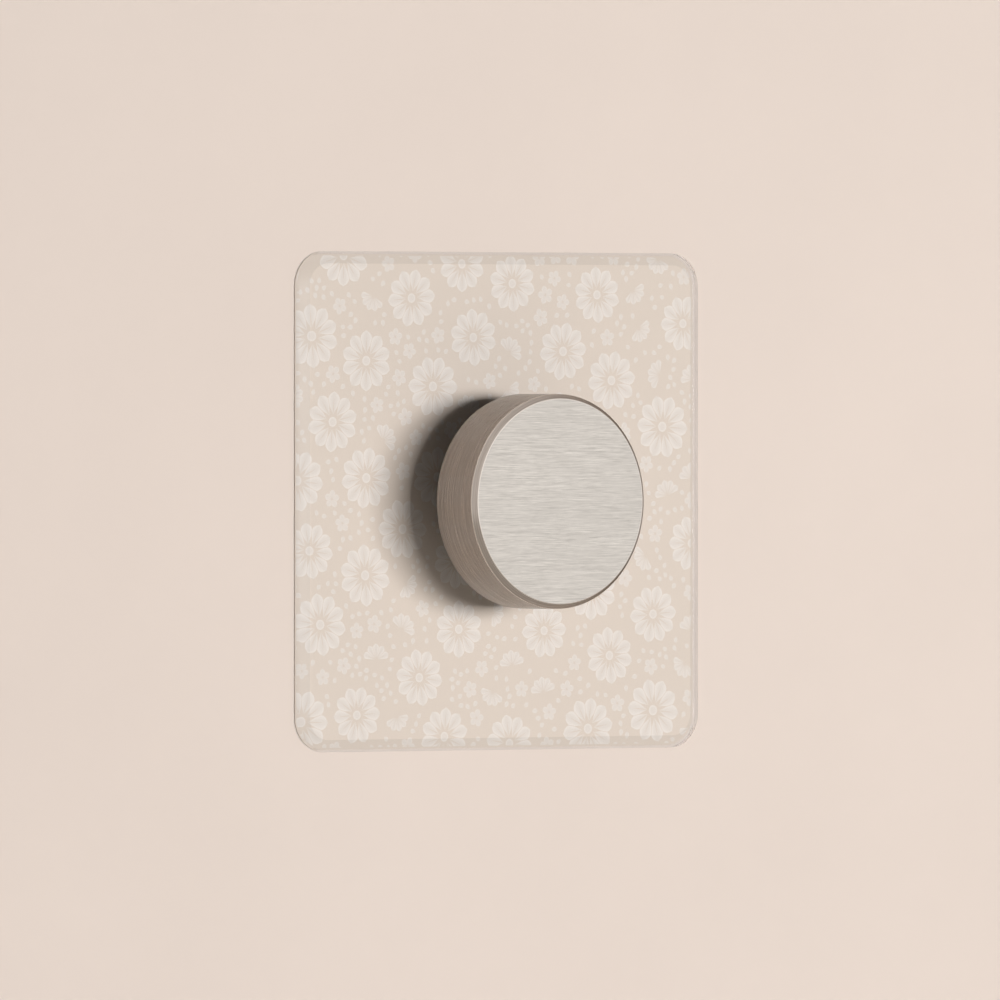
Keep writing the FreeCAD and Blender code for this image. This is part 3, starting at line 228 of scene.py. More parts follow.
def metalFinish(name, colour, roughness, stretch, contrast=0.12, bump=0.15, smear=0.3):
    material, tree, point, shader = startMaterial(name)
    base = linear(colour)
    lines = placeGroup(tree, brushedLines, {"Point": point, "Stretch": stretch})
    marks = placeGroup(tree, handling, {"Point": point, "Size": 0.25, "Amount": smear})["Mask"]
    lined = mixColour(tree, lines["Tone"], shade(base, 1 - contrast), shade(base, 1 + contrast))
    rough = spread(tree, lines["Tone"], roughness * 0.8, roughness * 1.25)
    values = {
        "Base Color": mixColour(tree, marks, lined, shade(base, 0.82)),
        "Roughness": maths(tree, "MULTIPLY_ADD", marks, 0.12, rough),
        "Metallic": 1.0,
    }
    feed(tree, shader.inputs, values)
    addRelief(tree, shader, lines["Height"], bump, depth=0.02)
    return material


def plasticFinish(
    name, colour, roughness, grain=6.0, contrast=0.08, bump=0.25, smear=0.25, coat=0.0
):
    material, tree, point, shader = startMaterial(name)
    base = linear(colour)
    skin = placeGroup(tree, mouldedSkin, {"Point": point, "Grain": grain})
    marks = placeGroup(tree, handling, {"Point": point, "Size": 0.18, "Amount": smear})["Mask"]
    patchy = mixColour(tree, skin["Tone"], shade(base, 1 - contrast), shade(base, 1 + contrast))
    dusty = mixColour(tree, marks, patchy, linear((176, 170, 160)))
    rough = spread(tree, skin["Tone"], roughness * 0.88, min(1.0, roughness * 1.12))
    values = {
        "Base Color": mixColour(tree, 0.12, patchy, dusty),
        "Roughness": maths(tree, "MULTIPLY_ADD", marks, 0.1, rough),
        "Coat Weight": coat,
    }
    feed(tree, shader.inputs, values)
    addRelief(tree, shader, skin["Height"], bump, depth=0.03)
    return material


def makeMouldMarks():
    # shallow rings that ejector pins leave, one in each corner of a square grid; Spacing is the
    # grid's pitch in mm across the surface, and Radius is the ring's
    tree, given, result = newTree(
        "mouldMarks",
        "ShaderNodeTree",
        [
            ("Point", "Vector", None),
            ("Spacing", "Float", 19.0),
            ("Radius", "Float", 2.0),
        ],
        [("Ring", "Float")],
    )
    point = inMillimetres(tree, given["Point"])
    parts = addNode(tree, "ShaderNodeSeparateXYZ", {0: point})
    half = maths(tree, "MULTIPLY", given["Spacing"], 0.5)
    offsets = {}
    for order, axis in enumerate((0, 2)):
        size = maths(tree, "ABSOLUTE", parts.outputs[axis])
        offsets[order] = maths(tree, "SUBTRACT", size, half)
    flat = firstOf(tree, "ShaderNodeCombineXYZ", offsets)
    away = vectorMaths(tree, "LENGTH", flat)["Value"]
    fromRing = maths(tree, "SUBTRACT", away, given["Radius"])
    near = maths(tree, "ABSOLUTE", fromRing)
    feed(tree, result, {"Ring": remap(tree, near, 0.0, 0.22, 1.0, 0.0)})
    return tree


mouldMarks = makeMouldMarks()


def makeCoverPlastic():
    # spark-eroded grey moulding with flow patches and ejector marks
    material, tree, point, shader = startMaterial("coverPlastic")
    base = linear((122, 124, 127))
    skin = placeGroup(tree, mouldedSkin, {"Point": point, "Grain": 3.4, "Patch": 0.09})
    fine = placeGroup(tree, mouldedSkin, {"Point": point, "Grain": 9.0, "Patch": 0.4})
    marks = placeGroup(tree, handling, {"Point": point, "Size": 0.16, "Amount": 0.5})["Mask"]
    ring = placeGroup(tree, mouldMarks, {"Point": point, "Spacing": 35.0, "Radius": 2.1})["Ring"]
    patchy = mixColour(tree, skin["Tone"], shade(base, 0.965), shade(base, 1.035))
    speckled = mixColour(tree, spread(tree, fine["Tone"], 0.0, 0.2), patchy, shade(base, 0.93))
    dusty = mixColour(tree, spread(tree, marks, 0.0, 0.22), speckled, linear((176, 172, 164)))
    ringed = mixColour(tree, spread(tree, ring, 0.0, 0.4), dusty, shade(base, 0.7))
    rough = spread(tree, skin["Tone"], 0.52, 0.66)
    feed(tree, shader.inputs, {"Base Color": ringed, "Roughness": rough})
    grain = maths(tree, "ADD", skin["Height"], fine["Height"])
    relief = maths(tree, "MULTIPLY_ADD", ring, -6.0, grain)
    addRelief(tree, shader, relief, strength=0.4, depth=0.03)
    return material


def makeKnobFace():
    # straight lines of a belt across the face; the light spreads up and down from them
    material, tree, point, shader = startMaterial("knobFace")
    base = linear((216, 210, 203))
    lines = placeGroup(tree, brushedLines, {"Point": point, "Stretch": (0.15, 0.5, 8.5)})
    hairs = placeGroup(tree, brushedLines, {"Point": point, "Stretch": (0.4, 0.5, 19.0)})
    clouds = placeGroup(tree, brushedLines, {"Point": point, "Stretch": (0.035, 0.2, 0.22)})
    marks = placeGroup(tree, handling, {"Point": point, "Size": 0.12, "Amount": 0.25})["Mask"]
    lined = mixColour(tree, lines["Tone"], shade(base, 0.4), shade(base, 1.28))
    haired = mixColour(tree, spread(tree, hairs["Tone"], 0.0, 0.5), lined, shade(base, 0.78))
    clouded = mixColour(tree, spread(tree, clouds["Tone"], 0.0, 0.55), haired, shade(base, 0.8))
    values = {
        "Base Color": mixColour(tree, marks, clouded, shade(base, 0.93)),
        "Roughness": spread(tree, lines["Tone"], 0.4, 0.28),
        "Metallic": 1.0,
        "Anisotropic": 0.75,
        "Anisotropic Rotation": 0.25,
        "Tangent": firstOf(
            tree, "ShaderNodeTangent", {}, direction_type="UV_MAP", uv_map="brush"
        ),
    }
    feed(tree, shader.inputs, values)
    addRelief(tree, shader, lines["Height"], strength=0.2, depth=0.02)
    return material


def makeTurnedSteel(name, colour, low, high, roughness, glancing=1.0):
    # lines that run round the knob, from the lathe
    material, tree, point, shader = startMaterial(name)
    base = linear(colour)
    lines = placeGroup(tree, brushedLines, {"Point": point, "Stretch": (0.045, 5.0, 0.045)})
    hairs = placeGroup(tree, brushedLines, {"Point": point, "Stretch": (0.1, 11.0, 0.1)})
    marks = placeGroup(tree, handling, {"Point": point, "Size": 0.2, "Amount": 0.3})["Mask"]
    lined = mixColour(tree, lines["Tone"], shade(base, low), shade(base, high))
    haired = mixColour(tree, spread(tree, hairs["Tone"], 0.0, 0.4), lined, shade(base, 0.9))
    values = {
        "Base Color": mixColour(tree, marks, haired, shade(base, 0.88)),
        "Roughness": spread(tree, lines["Tone"], roughness, roughness * 0.75),
        "Metallic": 1.0,
        "Anisotropic": 0.7,
        "Anisotropic Rotation": 0.25,
        # a glancing share below 1 darkens the reflection at grazing angles, which paints shade
        "Specular Tint": shade((1, 1, 1), glancing),
        "Tangent": firstOf(tree, "ShaderNodeTangent", {}, direction_type="RADIAL", axis="Y"),
    }
    feed(tree, shader.inputs, values)
    addRelief(tree, shader, lines["Height"], strength=0.13, depth=0.02)
    return material


def makeClearPlate(name, clearness, roughness, bend):
    # clear acrylic; shadows and soft light pass straight through it
    material, tree, point, shader = startMaterial(name)
    skin = placeGroup(tree, mouldedSkin, {"Point": point, "Grain": 0.6, "Patch": 0.05})
    marks = placeGroup(tree, handling, {"Point": point, "Size": 0.08, "Amount": 0.6})["Mask"]
    tint = (clearness, clearness * 1.018, clearness * 1.04, 1)
    values = {
        "Base Color": mixColour(tree, skin["Tone"], shade(tint, 0.992), shade(tint, 1.006)),
        "Roughness": spread(tree, marks, roughness, roughness * 1.6),
        "Transmission Weight": 1.0,
        "IOR": bend,
    }
    feed(tree, shader.inputs, values)
    addRelief(tree, shader, skin["Height"], strength=0.03, depth=0.05)
    ray = addNode(tree, "ShaderNodeLightPath")
    passes = maths(tree, "MAXIMUM", ray.outputs["Is Shadow Ray"], ray.outputs["Is Diffuse Ray"])
    through = addNode(tree, "ShaderNodeBsdfTransparent", {"Color": (0.985, 0.985, 0.983, 1.0)})
    mixSurface(tree, passes, shader, through)
    return material


def makePaper(name, colour, contrast, outline=None):
    # uncoated paper: fibres in the colour and a slight tooth; a print has a paler outline
    material, tree, point, shader = startMaterial(name)
    base = linear(colour)
    fibres = placeGroup(tree, brushedLines, {"Point": point, "Stretch": (1.6, 1.0, 4.0)})
    skin = placeGroup(tree, mouldedSkin, {"Point": point, "Grain": 9.0, "Patch": 0.06})
    fibred = mixColour(tree, fibres["Tone"], shade(base, 1 - contrast), shade(base, 1 + contrast))
    clouded = mixColour(tree, spread(tree, skin["Tone"], 0.0, 0.5), fibred, shade(base, 0.985))
    if outline:
        rim = addNode(tree, "ShaderNodeAttribute", attribute_name="rim").outputs["Fac"]
        near = remap(tree, rim, 0.55, 0.95, 0.0, 1.0)
        clouded = mixColour(tree, near, clouded, linear(outline))
    rough = spread(tree, skin["Tone"], 0.86, 0.94)
    values = {"Base Color": clouded, "Roughness": rough, "Specular IOR Level": 0.2}
    feed(tree, shader.inputs, values)
    addRelief(tree, shader, skin["Height"], strength=0.12, depth=0.03)
    return material


# name: kind, colour 0 to 255, roughness, and what differs from the usual
finishes = {
    "black_moulding": ("plastic", (48, 48, 51), 0.55, {}),
    "white_moulding": ("plastic", (226, 225, 219), 0.45, {}),
    "board_laminate": (
        "plastic", (52, 110, 74), 0.38, {"grain": 2.0, "coat": 0.3, "contrast": 0.14}
    ),
    "wafer_laminate": ("plastic", (150, 112, 72), 0.5, {"grain": 3.0, "contrast": 0.16}),
    "carbon_film": ("plastic", (40, 40, 42), 0.42, {"grain": 12.0}),
    "black_epoxy": ("plastic", (42, 42, 45), 0.5, {"grain": 8.0, "bump": 0.35}),
    "silicone_pad": ("plastic", (146, 150, 156), 0.7, {"grain": 10.0, "bump": 0.4}),
    "film_box": ("plastic", (214, 178, 62), 0.28, {"coat": 0.4, "bump": 0.1}),
    "ferrite": ("plastic", (86, 88, 92), 0.6, {"grain": 5.0, "contrast": 0.18, "bump": 0.5}),
    "can_sleeve": ("plastic", (44, 52, 92), 0.25, {"coat": 0.5, "bump": 0.06}),
    "resistor_body": ("plastic", (142, 178, 184), 0.32, {"coat": 0.4, "bump": 0.12}),
    "absorber_disc": ("plastic", (38, 82, 152), 0.34, {"coat": 0.4, "bump": 0.2}),
    "spring_steel": ("metal", (172, 172, 174), 0.28, {"stretch": (0.6, 0.6, 6.0)}),
    "zinc_steel": (
        "metal", (196, 198, 200), 0.36,
        {"stretch": (0.35, 1.0, 2.2), "contrast": 0.08, "smear": 0.5},
    ),
    "screw_steel": (
        "metal", (178, 180, 183), 0.3,
        {"stretch": (1.2, 4.0, 1.2), "bump": 0.06, "contrast": 0.1},
    ),
    "brass_bush": (
        "metal", (204, 199, 188), 0.28,
        {"stretch": (0.4, 4.0, 0.4), "bump": 0.05, "contrast": 0.07, "smear": 0.15},
    ),
    "brass": (
        "metal", (214, 182, 116), 0.3,
        {"stretch": (0.6, 3.5, 0.6), "bump": 0.06, "contrast": 0.08},
    ),
    "sink_aluminium": (
        "metal", (212, 214, 217), 0.4, {"stretch": (0.25, 3.0, 3.5), "contrast": 0.07}
    ),
    "spring_bronze": ("metal", (196, 146, 96), 0.3, {"stretch": (2.0, 2.0, 6.0)}),
    "tinned_wire": ("metal", (196, 198, 201), 0.32, {"stretch": (3.0, 1.0, 3.0), "bump": 0.08}),
    "enamelled_wire": ("metal", (184, 100, 58), 0.22, {"stretch": (2.0, 2.0, 2.0), "bump": 0.05}),
}

materials = {}
for slotName, (kind, colour, roughness, others) in finishes.items():
    make = metalFinish if kind == "metal" else plasticFinish
    materials[slotName] = make(slotName, colour, roughness, **others)
# the knob's side: the face's steel with a darker base, which paints shade over the whole side
materials["brushed_knob"] = makeTurnedSteel(
    "knobSide", (158, 149, 142), low=0.74, high=1.19, roughness=0.33
)
materials["clear_acrylic"] = makeClearPlate(
    "clearPlate", clearness=0.955, roughness=0.025, bend=1.15
)
materials["wall_paper"] = makePaper("paperGround", (223, 209, 196), contrast=0.02)
materials["grey_moulding"] = makeCoverPlastic()
knobFace = makeKnobFace()
# the chamfer: the steel with darker lines and a glancing share of 0.25; both paint shade into it,
# most where it is seen at a grazing angle
knobChamferShaded = makeTurnedSteel(
    "knobChamferShaded", (168, 157, 148), low=0.58, high=1.36, roughness=0.36, glancing=0.25
)
# the eases beside the chamfer: the steel with a brighter base, which paints a highlight hairline
knobEdge = makeTurnedSteel("knobEdge", (208, 200, 192), low=0.82, high=1.1, roughness=0.26)
# the bevels and sides: the same acrylic made much less clear, which paints shade on them
plateEdge = makeClearPlate("plateEdge", clearness=0.785, roughness=0.2, bend=1.12)
printInk = makePaper("printInk", (228, 218, 209), contrast=0.012, outline=(235, 226, 218))

slotOf = {part["node"]: part["material_slot"] for part in frame["record"]["subparts"]}
bodies = frame["record"]["behaviour"]["bodies"]
bodyOf = {name: body for body, names in bodies.items() for name in names}
for name, node in nodes.items():
    node.data.materials.clear()
    node.data.materials.append(materials[slotOf[name]])
print("materials made for", len(materials), "slots")


def newObject(name, data):
    made = bpy.data.objects.new(name, data)
    bpy.context.scene.collection.objects.link(made)
    return made


def asPiece(name, mesh, standsFor):
    # a finished piece that takes the body of the CAD node it stands for, and hides that node
    piece = newObject(name, mesh)
    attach(piece, bodyOf[standsFor])
    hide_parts(standsFor)
    return piece


def easedLine(corners, steps, hold):
    # rounds each corner (across, along, ease) with a short curve and holds the flats beside it
    line = []
    for i, (across, along, ease) in enumerate(corners):
        here = Vector((across, along))
        if ease == 0:
            line.append(here)
            continue
        before = (Vector(corners[i - 1][:2]) - here).normalized()
        after = (Vector(corners[(i + 1) % len(corners)][:2]) - here).normalized()
        start, end = here + before * ease, here + after * ease
        line.append(start + before * hold)
        for k in range(steps + 1):
            t = k / steps
            line.append(start * (1 - t) ** 2 + here * 2 * t * (1 - t) + end * t**2)
        line.append(end + after * hold)
    return line


def joinRings(bm, rings, closed, parted=False):
    # faces between neighbouring rings of points; a ring of one point is a pole, and a parted
    # ring's last point isn't joined to its first
    pairs = list(zip(rings, rings[1:]))
    if closed:
        pairs.append((rings[-1], rings[0]))
    for first, second in pairs:
        count = max(len(first), len(second))
        for k in range(count - 1 if parted else count):
            corners = [first[k % len(first)], first[(k + 1) % len(first)]]
            corners += [second[(k + 1) % len(second)], second[k % len(second)]]
            unique = list(dict.fromkeys(corners))
            if len(unique) > 2:
                bm.faces.new(unique)


def finishMesh(bm, name, sharpAngle=32):
    bmesh.ops.remove_doubles(bm, verts=bm.verts, dist=weld)
    bmesh.ops.recalc_face_normals(bm, faces=bm.faces)
    mesh = bpy.data.meshes.new(name)
    bm.to_mesh(mesh)
    bm.free()
    for face in mesh.polygons:
        face.use_smooth = True
    mesh.set_sharp_from_angle(angle=math.radians(sharpAngle))
    return mesh


def turnedRings(bm, line, segments):
    rings = []
    for radius, y in line:
        if radius == 0:
            rings.append([bm.verts.new((0, y * mm, 0))])
            continue
        ring = []
        for k in range(segments):
            turn = 2 * math.pi * k / segments
            across, up = radius * mm * math.cos(turn), radius * mm * math.sin(turn)
            ring.append(bm.verts.new((across, y * mm, up)))
        rings.append(ring)
    return rings


# the knob is a turned cup with a brushed face; the eases round its edges. faceEnd and the size
# after it: how far down an ease the brushed face and the hairline of painted highlight end, as
# shares of it
knobSizes = {
    "chamfer": 0.85,
    "rimBreak": 0.25,
    "wall": 1.8,
    "faceWall": 2.2,
    "faceEase": 0.1,
    "sideEase": 0.11,
    "rimEase": 0.08,
    "floorEase": 0.3,
    "hold": 0.03,
    "easeSteps": 4,
    "segments": 256,
    "faceEnd": 0.02,
    "highlightEnd": 0.72,
}


def makeKnob():
    low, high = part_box("knob_shell")
    front, rear, radius = low.y / mm, high.y / mm, high.x / mm
    s = knobSizes
    inner, floor = radius - s["wall"], front + s["faceWall"]
    corners = [
        (0, front, 0),
        (radius - s["chamfer"], front, s["faceEase"]),
        (radius, front + s["chamfer"], s["sideEase"]),
        (radius, rear - s["rimBreak"], s["rimEase"]),
        (radius - s["rimBreak"], rear, s["rimEase"]),
        (inner, rear, s["rimEase"]),
        (inner, floor, s["floorEase"]),
        (0, floor, 0),
    ]
    bm = bmesh.new()
    line = easedLine(corners, s["easeSteps"], s["hold"])
    joinRings(bm, turnedRings(bm, line, s["segments"]), closed=False)
    mesh = finishMesh(bm, "knobShell")
    for finish in (materials["brushed_knob"], knobFace, knobChamferShaded, knobEdge):
        mesh.materials.append(finish)
    brush = mesh.uv_layers.new(name="brush")
    faceSlot, chamferSlot, highlightSlot = 1, 2, 3
    for face in mesh.polygons:
        back = face.center.y / mm - front
        if back < s["faceEase"] * s["faceEnd"]:
            face.material_index = faceSlot
        # the hairline of painted highlight, on the eases either side of the chamfer
        elif back < s["faceEase"] * s["highlightEnd"]:
            face.material_index = highlightSlot
        elif back < s["chamfer"] - s["sideEase"] * s["highlightEnd"]:
            face.material_index = chamferSlot
        elif back < s["chamfer"] + s["sideEase"]:
            face.material_index = highlightSlot
        for corner in face.loop_indices:
            place = mesh.vertices[mesh.loops[corner].vertex_index].co
            brush.data[corner].uv = (place.x / mm, place.z / mm)
    asPiece("knobShell", mesh, "knob_shell")


makeKnob()
print("knob made")


# the plate is one bevelled slab of acrylic with a keyed hole for the bush; it is pressed a
# little into the paper, so that no film of air is left between them
plateSizes = {
    "corner": 6.0,
    "flatCorner": 1.5,
    "bevelWidth": 2.2,
    "bevelDepth": 0.6,
    "faceEase": 0.45,
    "shoulderEase": 0.14,
    "backEase": 0.1,
    "hold": 0.04,
    "easeSteps": 5,
    "cornerSteps": 20,
    "holeRadius": 5.15,
    "holeFlats": 4.65,
    "pressed": 0.012,
}


def roundedSquare(half, corner, steps):
    points = []
    for quarter in range(4):
        cx = (half - corner) * (1 if quarter in (0, 3) else -1)
        cz = (half - corner) * (1 if quarter in (0, 1) else -1)
        for k in range(steps + 1):
            angle = (quarter + k / steps) * math.pi / 2
            points.append((cx + corner * math.cos(angle), cz + corner * math.sin(angle)))
    return points


def makePlate():
    low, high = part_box("front_plate")
    half, front, back = high.x / mm, low.y / mm, high.y / mm
    s = plateSizes
    behind = back + s["pressed"]
    flat = s["corner"] - s["flatCorner"]
    corners = [
        (flat, front, 0),
        (s["bevelWidth"], front, s["faceEase"]),
        (0, front + s["bevelDepth"], s["shoulderEase"]),
        (0, behind, s["backEase"]),
        (flat, behind, 0),
    ]
    bm = bmesh.new()
    rings = []
    for inset, y in easedLine(corners, s["easeSteps"], s["hold"]):
        outline = roundedSquare(half - inset, s["corner"] - inset, s["cornerSteps"])
        rings.append([bm.verts.new((x * mm, y * mm, z * mm)) for x, z in outline])
    directions = [math.atan2(z, x) for x, z in roundedSquare(half, s["corner"], s["cornerSteps"])]
    for y in (behind, front):
        hole = []
        for angle in directions:
            x, z = s["holeRadius"] * math.cos(angle), s["holeRadius"] * math.sin(angle)
            x = max(-s["holeFlats"], min(s["holeFlats"], x))
            hole.append(bm.verts.new((x * mm, y * mm, z * mm)))
        rings.append(hole)
    joinRings(bm, rings, closed=True)
    mesh = finishMesh(bm, "frontPlate", sharpAngle=25)
    mesh.materials.append(materials["clear_acrylic"])
    mesh.materials.append(plateEdge)
    for face in mesh.polygons:
        # whatever slopes is the edge, apart from the hole; it takes the less clear acrylic, which
        # paints shade on it
        fromAxis = math.hypot(face.center.x, face.center.z)
        if abs(face.normal.y) < 0.99 and fromAxis > 2 * s["holeRadius"] * mm:
            face.material_index = 1
    asPiece("frontPlate", mesh, "front_plate")


makePlate()
print("plate made")


# The print on the paper is this scene's own scatter of petalled rounds, fans and drops.
# blades: petals in the motif, span: the angle they share, start: the bare middle's radius,
# full: how far out a petal is widest, rib: half the slit along it, bead: the middle's radius;
# petalSizes: steps along a petal, bulge: how blunt it is, slitEnd: where its slit closes, apart:
# from one petal to the next, inside: the rim value inside a petal, beadSides: the bead's corners
motifSizes = {
    "round": {
        "blades": 10, "span": 360, "start": 1.35, "length": 4.2, "width": 2.6,
        "full": 1.6, "rib": 0.1, "bead": 0.9,
    },
    "fan": {
        "blades": 5, "span": 170, "start": 0.35, "length": 2.6, "width": 1.5,
        "full": 1.5, "rib": 0.06, "bead": 0.0,
    },
    "sprout": {
        "blades": 5, "span": 360, "start": 0.14, "length": 1.5, "width": 1.15,
        "full": 1.3, "rib": 0.0, "bead": 0.0,
    },
    "drop": {
        "blades": 1, "span": 360, "start": -0.62, "length": 1.24, "width": 0.85,
        "full": 1.25, "rib": 0.0, "bead": 0.0,
    },
}
petalSizes = {
    "steps": 9,
    "bulge": 0.7,
    "slitEnd": 0.72,
    "apart": 0.05,
    "inside": 0.35,
    "beadSides": 14,
}
printSizes = {
    "passes": ["round"] + ["fan"] * 3 + ["sprout"] * 4 + ["drop"] * 3,
    "between": 0.12,
    "margin": 0.3,
    "corner": 5.2,
    "holeRadius": 5.9,
    "lift": 0.015,
    "density": 16.0,
    "seed": 23,
    "smallest": 0.86,  # the least size of a motif, as a share of its full size
}


def makeMotif(name, s):
    # each petal is two halves beside a slit; the float attribute "rim" is 1 along its outline
    bm = bmesh.new()
    rim = bm.verts.layers.float.new("rim")
    p = petalSizes
    steps = p["steps"]
    pitch = math.radians(s["span"]) / s["blades"]
    back = 0.0 if s["blades"] == 1 or s["span"] == 360 else s["length"] * 0.5

    def point(radius, across, angle, edge):
        x = radius * math.cos(angle) - across * math.sin(angle)
        z = radius * math.sin(angle) + across * math.cos(angle)
        vert = bm.verts.new(((x - back) * mm, 0, z * mm))
        vert[rim] = edge
        return vert

    for k in range(s["blades"]):
        angle = (k - (s["blades"] - 1) / 2) * pitch
        for side in (-1, 1):
            inner, outer = [], []
            for i in range(steps + 1):
                share = i / steps
                radius = s["start"] + s["length"] * share
                half = 0.0
                if 0 < i < steps:
                    half = s["width"] / 2 * math.sin(math.pi * share ** s["full"]) ** p["bulge"]
                if s["blades"] > 1:
                    half = max(0.0, min(half, radius * math.tan(pitch / 2) - p["apart"]))
                slit = min(half, s["rib"] * max(0.0, 1 - (share / p["slitEnd"]) ** 4))
                inner.append(point(radius, side * slit, angle, p["inside"] if s["rib"] else 0.0))
                outer.append(point(radius, side * half, angle, 1.0))
            joinRings(bm, [inner, outer], closed=False, parted=True)
    if s["bead"]:
        turns = [2 * math.pi * i / p["beadSides"] for i in range(p["beadSides"])]
        middle = point(0.0, 0.0, 0.0, 0.0)
        edge = [point(s["bead"], 0.0, turn, 1.0) for turn in turns]
        joinRings(bm, [[middle], edge], closed=False)
    bmesh.ops.remove_doubles(bm, verts=bm.verts, dist=weld)
    for face in bm.faces:
        face.normal_update()
        if face.normal.y > 0:
            face.normal_flip()
    mesh = bpy.data.meshes.new(name)
    bm.to_mesh(mesh)
    bm.free()
    return mesh


def randomValue(tree, low, high, seed):
    values = {2: low, 3: high, "Seed": seed}
    return addNode(tree, "FunctionNodeRandomValue", values, data_type="FLOAT").outputs[1]


def makeScatterTree():
    # every kind of motif keeps clear of the kinds placed before it
    given = [("Geometry", "Geometry", None)]
    for kind in motifSizes:
        given += [
            (kind + " Motif", "Object", None),
            (kind + " Reach", "Float", 0.002),
        ]
    given += [
        ("Side", "Float", 0.085),
        ("Front", "Float", 0.0),
        ("Density", "Float", 6.0),
        ("Seed", "Int", 1),
        ("Ink", "Material", None),
    ]
    results = [("Geometry", "Geometry")]
    tree, given, result = newTree("scatterPrint", "GeometryNodeTree", given, results)
    side = given["Side"]
    corners = {"Size X": side, "Size Y": side, "Vertices X": 2, "Vertices Y": 2}
    sheet = firstOf(tree, "GeometryNodeMeshGrid", corners)
    upright = (math.pi / 2, 0.0, 0.0)
    stood = firstOf(tree, "GeometryNodeTransform", {"Geometry": sheet, "Rotation": upright})
    joined = addNode(tree, "GeometryNodeJoinGeometry")
    earlier = []
    for order, kind in enumerate(printSizes["passes"]):
        reach = given[kind + " Reach"]
        apart = maths(tree, "MULTIPLY", reach, 2.0)
        area = maths(tree, "MULTIPLY", apart, apart)
        density = maths(tree, "DIVIDE", given["Density"], area)
        seed = maths(tree, "ADD", given["Seed"], float(order))
        points = addNode(
            tree, "GeometryNodeDistributePointsOnFaces",
            {"Mesh": stood, "Distance Min": apart, "Density Max": density, "Seed": seed},
            distribute_method="POISSON",
        ).outputs["Points"]
        for others, otherReach in earlier:
            placed = {"Geometry": others}
            near = addNode(tree, "GeometryNodeProximity", placed, target_element="POINTS")
            clear = maths(tree, "ADD", reach, otherReach)
            lengths = {0: near.outputs["Distance"], 1: clear}
            tooNear = firstOf(tree, "FunctionNodeCompare", lengths, operation="LESS_THAN")
            # where nothing has been placed yet, the distance isn't valid
            both = {0: tooNear, 1: near.outputs["Is Valid"]}
            known = firstOf(tree, "FunctionNodeBooleanMath", both, operation="AND")
            left = {"Geometry": points, "Selection": known}
            points = firstOf(tree, "GeometryNodeDeleteGeometry", left)
        earlier.append((points, reach))
        turn = randomValue(tree, 0.0, 2 * math.pi, seed)
        size = randomValue(tree, printSizes["smallest"], 1.0, seed)
        turned = {"Axis": (0.0, 1.0, 0.0), "Angle": turn}
        spin = firstOf(tree, "FunctionNodeAxisAngleToRotation", turned)
        motif = addNode(tree, "GeometryNodeObjectInfo", {"Object": given[kind + " Motif"]})
        shape = motif.outputs["Geometry"]
        copies = {"Points": points, "Instance": shape, "Rotation": spin, "Scale": size}
        printed = firstOf(tree, "GeometryNodeInstanceOnPoints", copies)
        tree.links.new(printed, joined.inputs[0])
    real = firstOf(tree, "GeometryNodeRealizeInstances", {"Geometry": joined.outputs[0]})
    lift = firstOf(tree, "ShaderNodeCombineXYZ", {1: given["Front"]})
    lifted = firstOf(tree, "GeometryNodeSetPosition", {"Geometry": real, "Offset": lift})
    inked = firstOf(tree, "GeometryNodeSetMaterial", {"Geometry": lifted, "Material": given["Ink"]})
    feed(tree, result, {"Geometry": inked})
    return tree


def setInputs(modifier, values):
    for item in modifier.node_group.interface.items_tree:
        if item.item_type == "SOCKET" and item.in_out == "INPUT" and item.name in values:
            modifier[item.identifier] = values[item.name]


def bakedMesh(source, name):
    # the result of an object's modifiers as a plain mesh
    bpy.context.view_layer.update()
    ready = source.evaluated_get(bpy.context.evaluated_depsgraph_get())
    mesh = bpy.data.meshes.new_from_object(ready)
    mesh.name = name
    return mesh


def everything(bm):
    return bm.verts[:] + bm.edges[:] + bm.faces[:]


def clipToSheet(mesh, half, corner, hole, cuts=24):
    # trims what is printed to the paper's outline and round its hole
    bm = bmesh.new()
    bm.from_mesh(mesh)
    for cut in range(cuts):
        angle = 2 * math.pi * cut / cuts
        outward = Vector((math.cos(angle), 0, math.sin(angle)))
        reach = (half - corner) * (abs(outward.x) + abs(outward.z)) + corner
        bmesh.ops.bisect_plane(
            bm, geom=everything(bm), plane_co=outward * reach, plane_no=outward, clear_outer=True
        )
    places = [(face, face.calc_center_median()) for face in bm.faces]
    middle = [face for face, place in places if math.hypot(place.x, place.z) < hole]
    bmesh.ops.delete(bm, geom=middle, context="FACES")
    bm.to_mesh(mesh)
    bm.free()


def makePrint():
    low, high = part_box("paper_sheet")
    s = printSizes
    values = {
        "Side": high.x - low.x,
        "Front": low.y - s["lift"] * mm,
        "Density": s["density"],
        "Seed": s["seed"],
        "Ink": printInk,
    }
    helpers = [newObject("printPattern", bpy.data.meshes.new("printPattern"))]
    for kind, motif in motifSizes.items():
        pattern = makeMotif(kind + "Motif", motif)
        helpers.append(newObject(kind + "Motif", pattern))
        values[kind + " Motif"] = helpers[-1]
        reach = max(vert.co.length for vert in pattern.vertices)
        values[kind + " Reach"] = reach + s["between"] / 2 * mm
    modifier = helpers[0].modifiers.new("scatter", "NODES")
    modifier.node_group = makeScatterTree()
    setInputs(modifier, values)
    mesh = bakedMesh(helpers[0], "paperPrint")
    for helper in helpers:
        bpy.data.objects.remove(helper)
    clipToSheet(mesh, high.x - s["margin"] * mm, s["corner"] * mm, s["holeRadius"] * mm)
    piece = newObject("paperPrint", mesh)
    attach(piece, "root")
    print("print made,", len(mesh.polygons), "faces")


makePrint()


# start and end: where the thread runs along y, tip: where the screw ends, sunk: how far its core
# reaches into the shank, first: the axis of the first screw, step: from one screw to the next
threadSizes = {
    "box_screws": {
        "root": 1.47, "crest": 1.74, "pitch": 0.7, "coreSides": 32,
        "start": 4.7, "end": 26.9, "tip": 27.5, "sunk": 0.2,
        "first": (-30.15, 0), "step": (60.3, 0), "count": 2,
    },
}


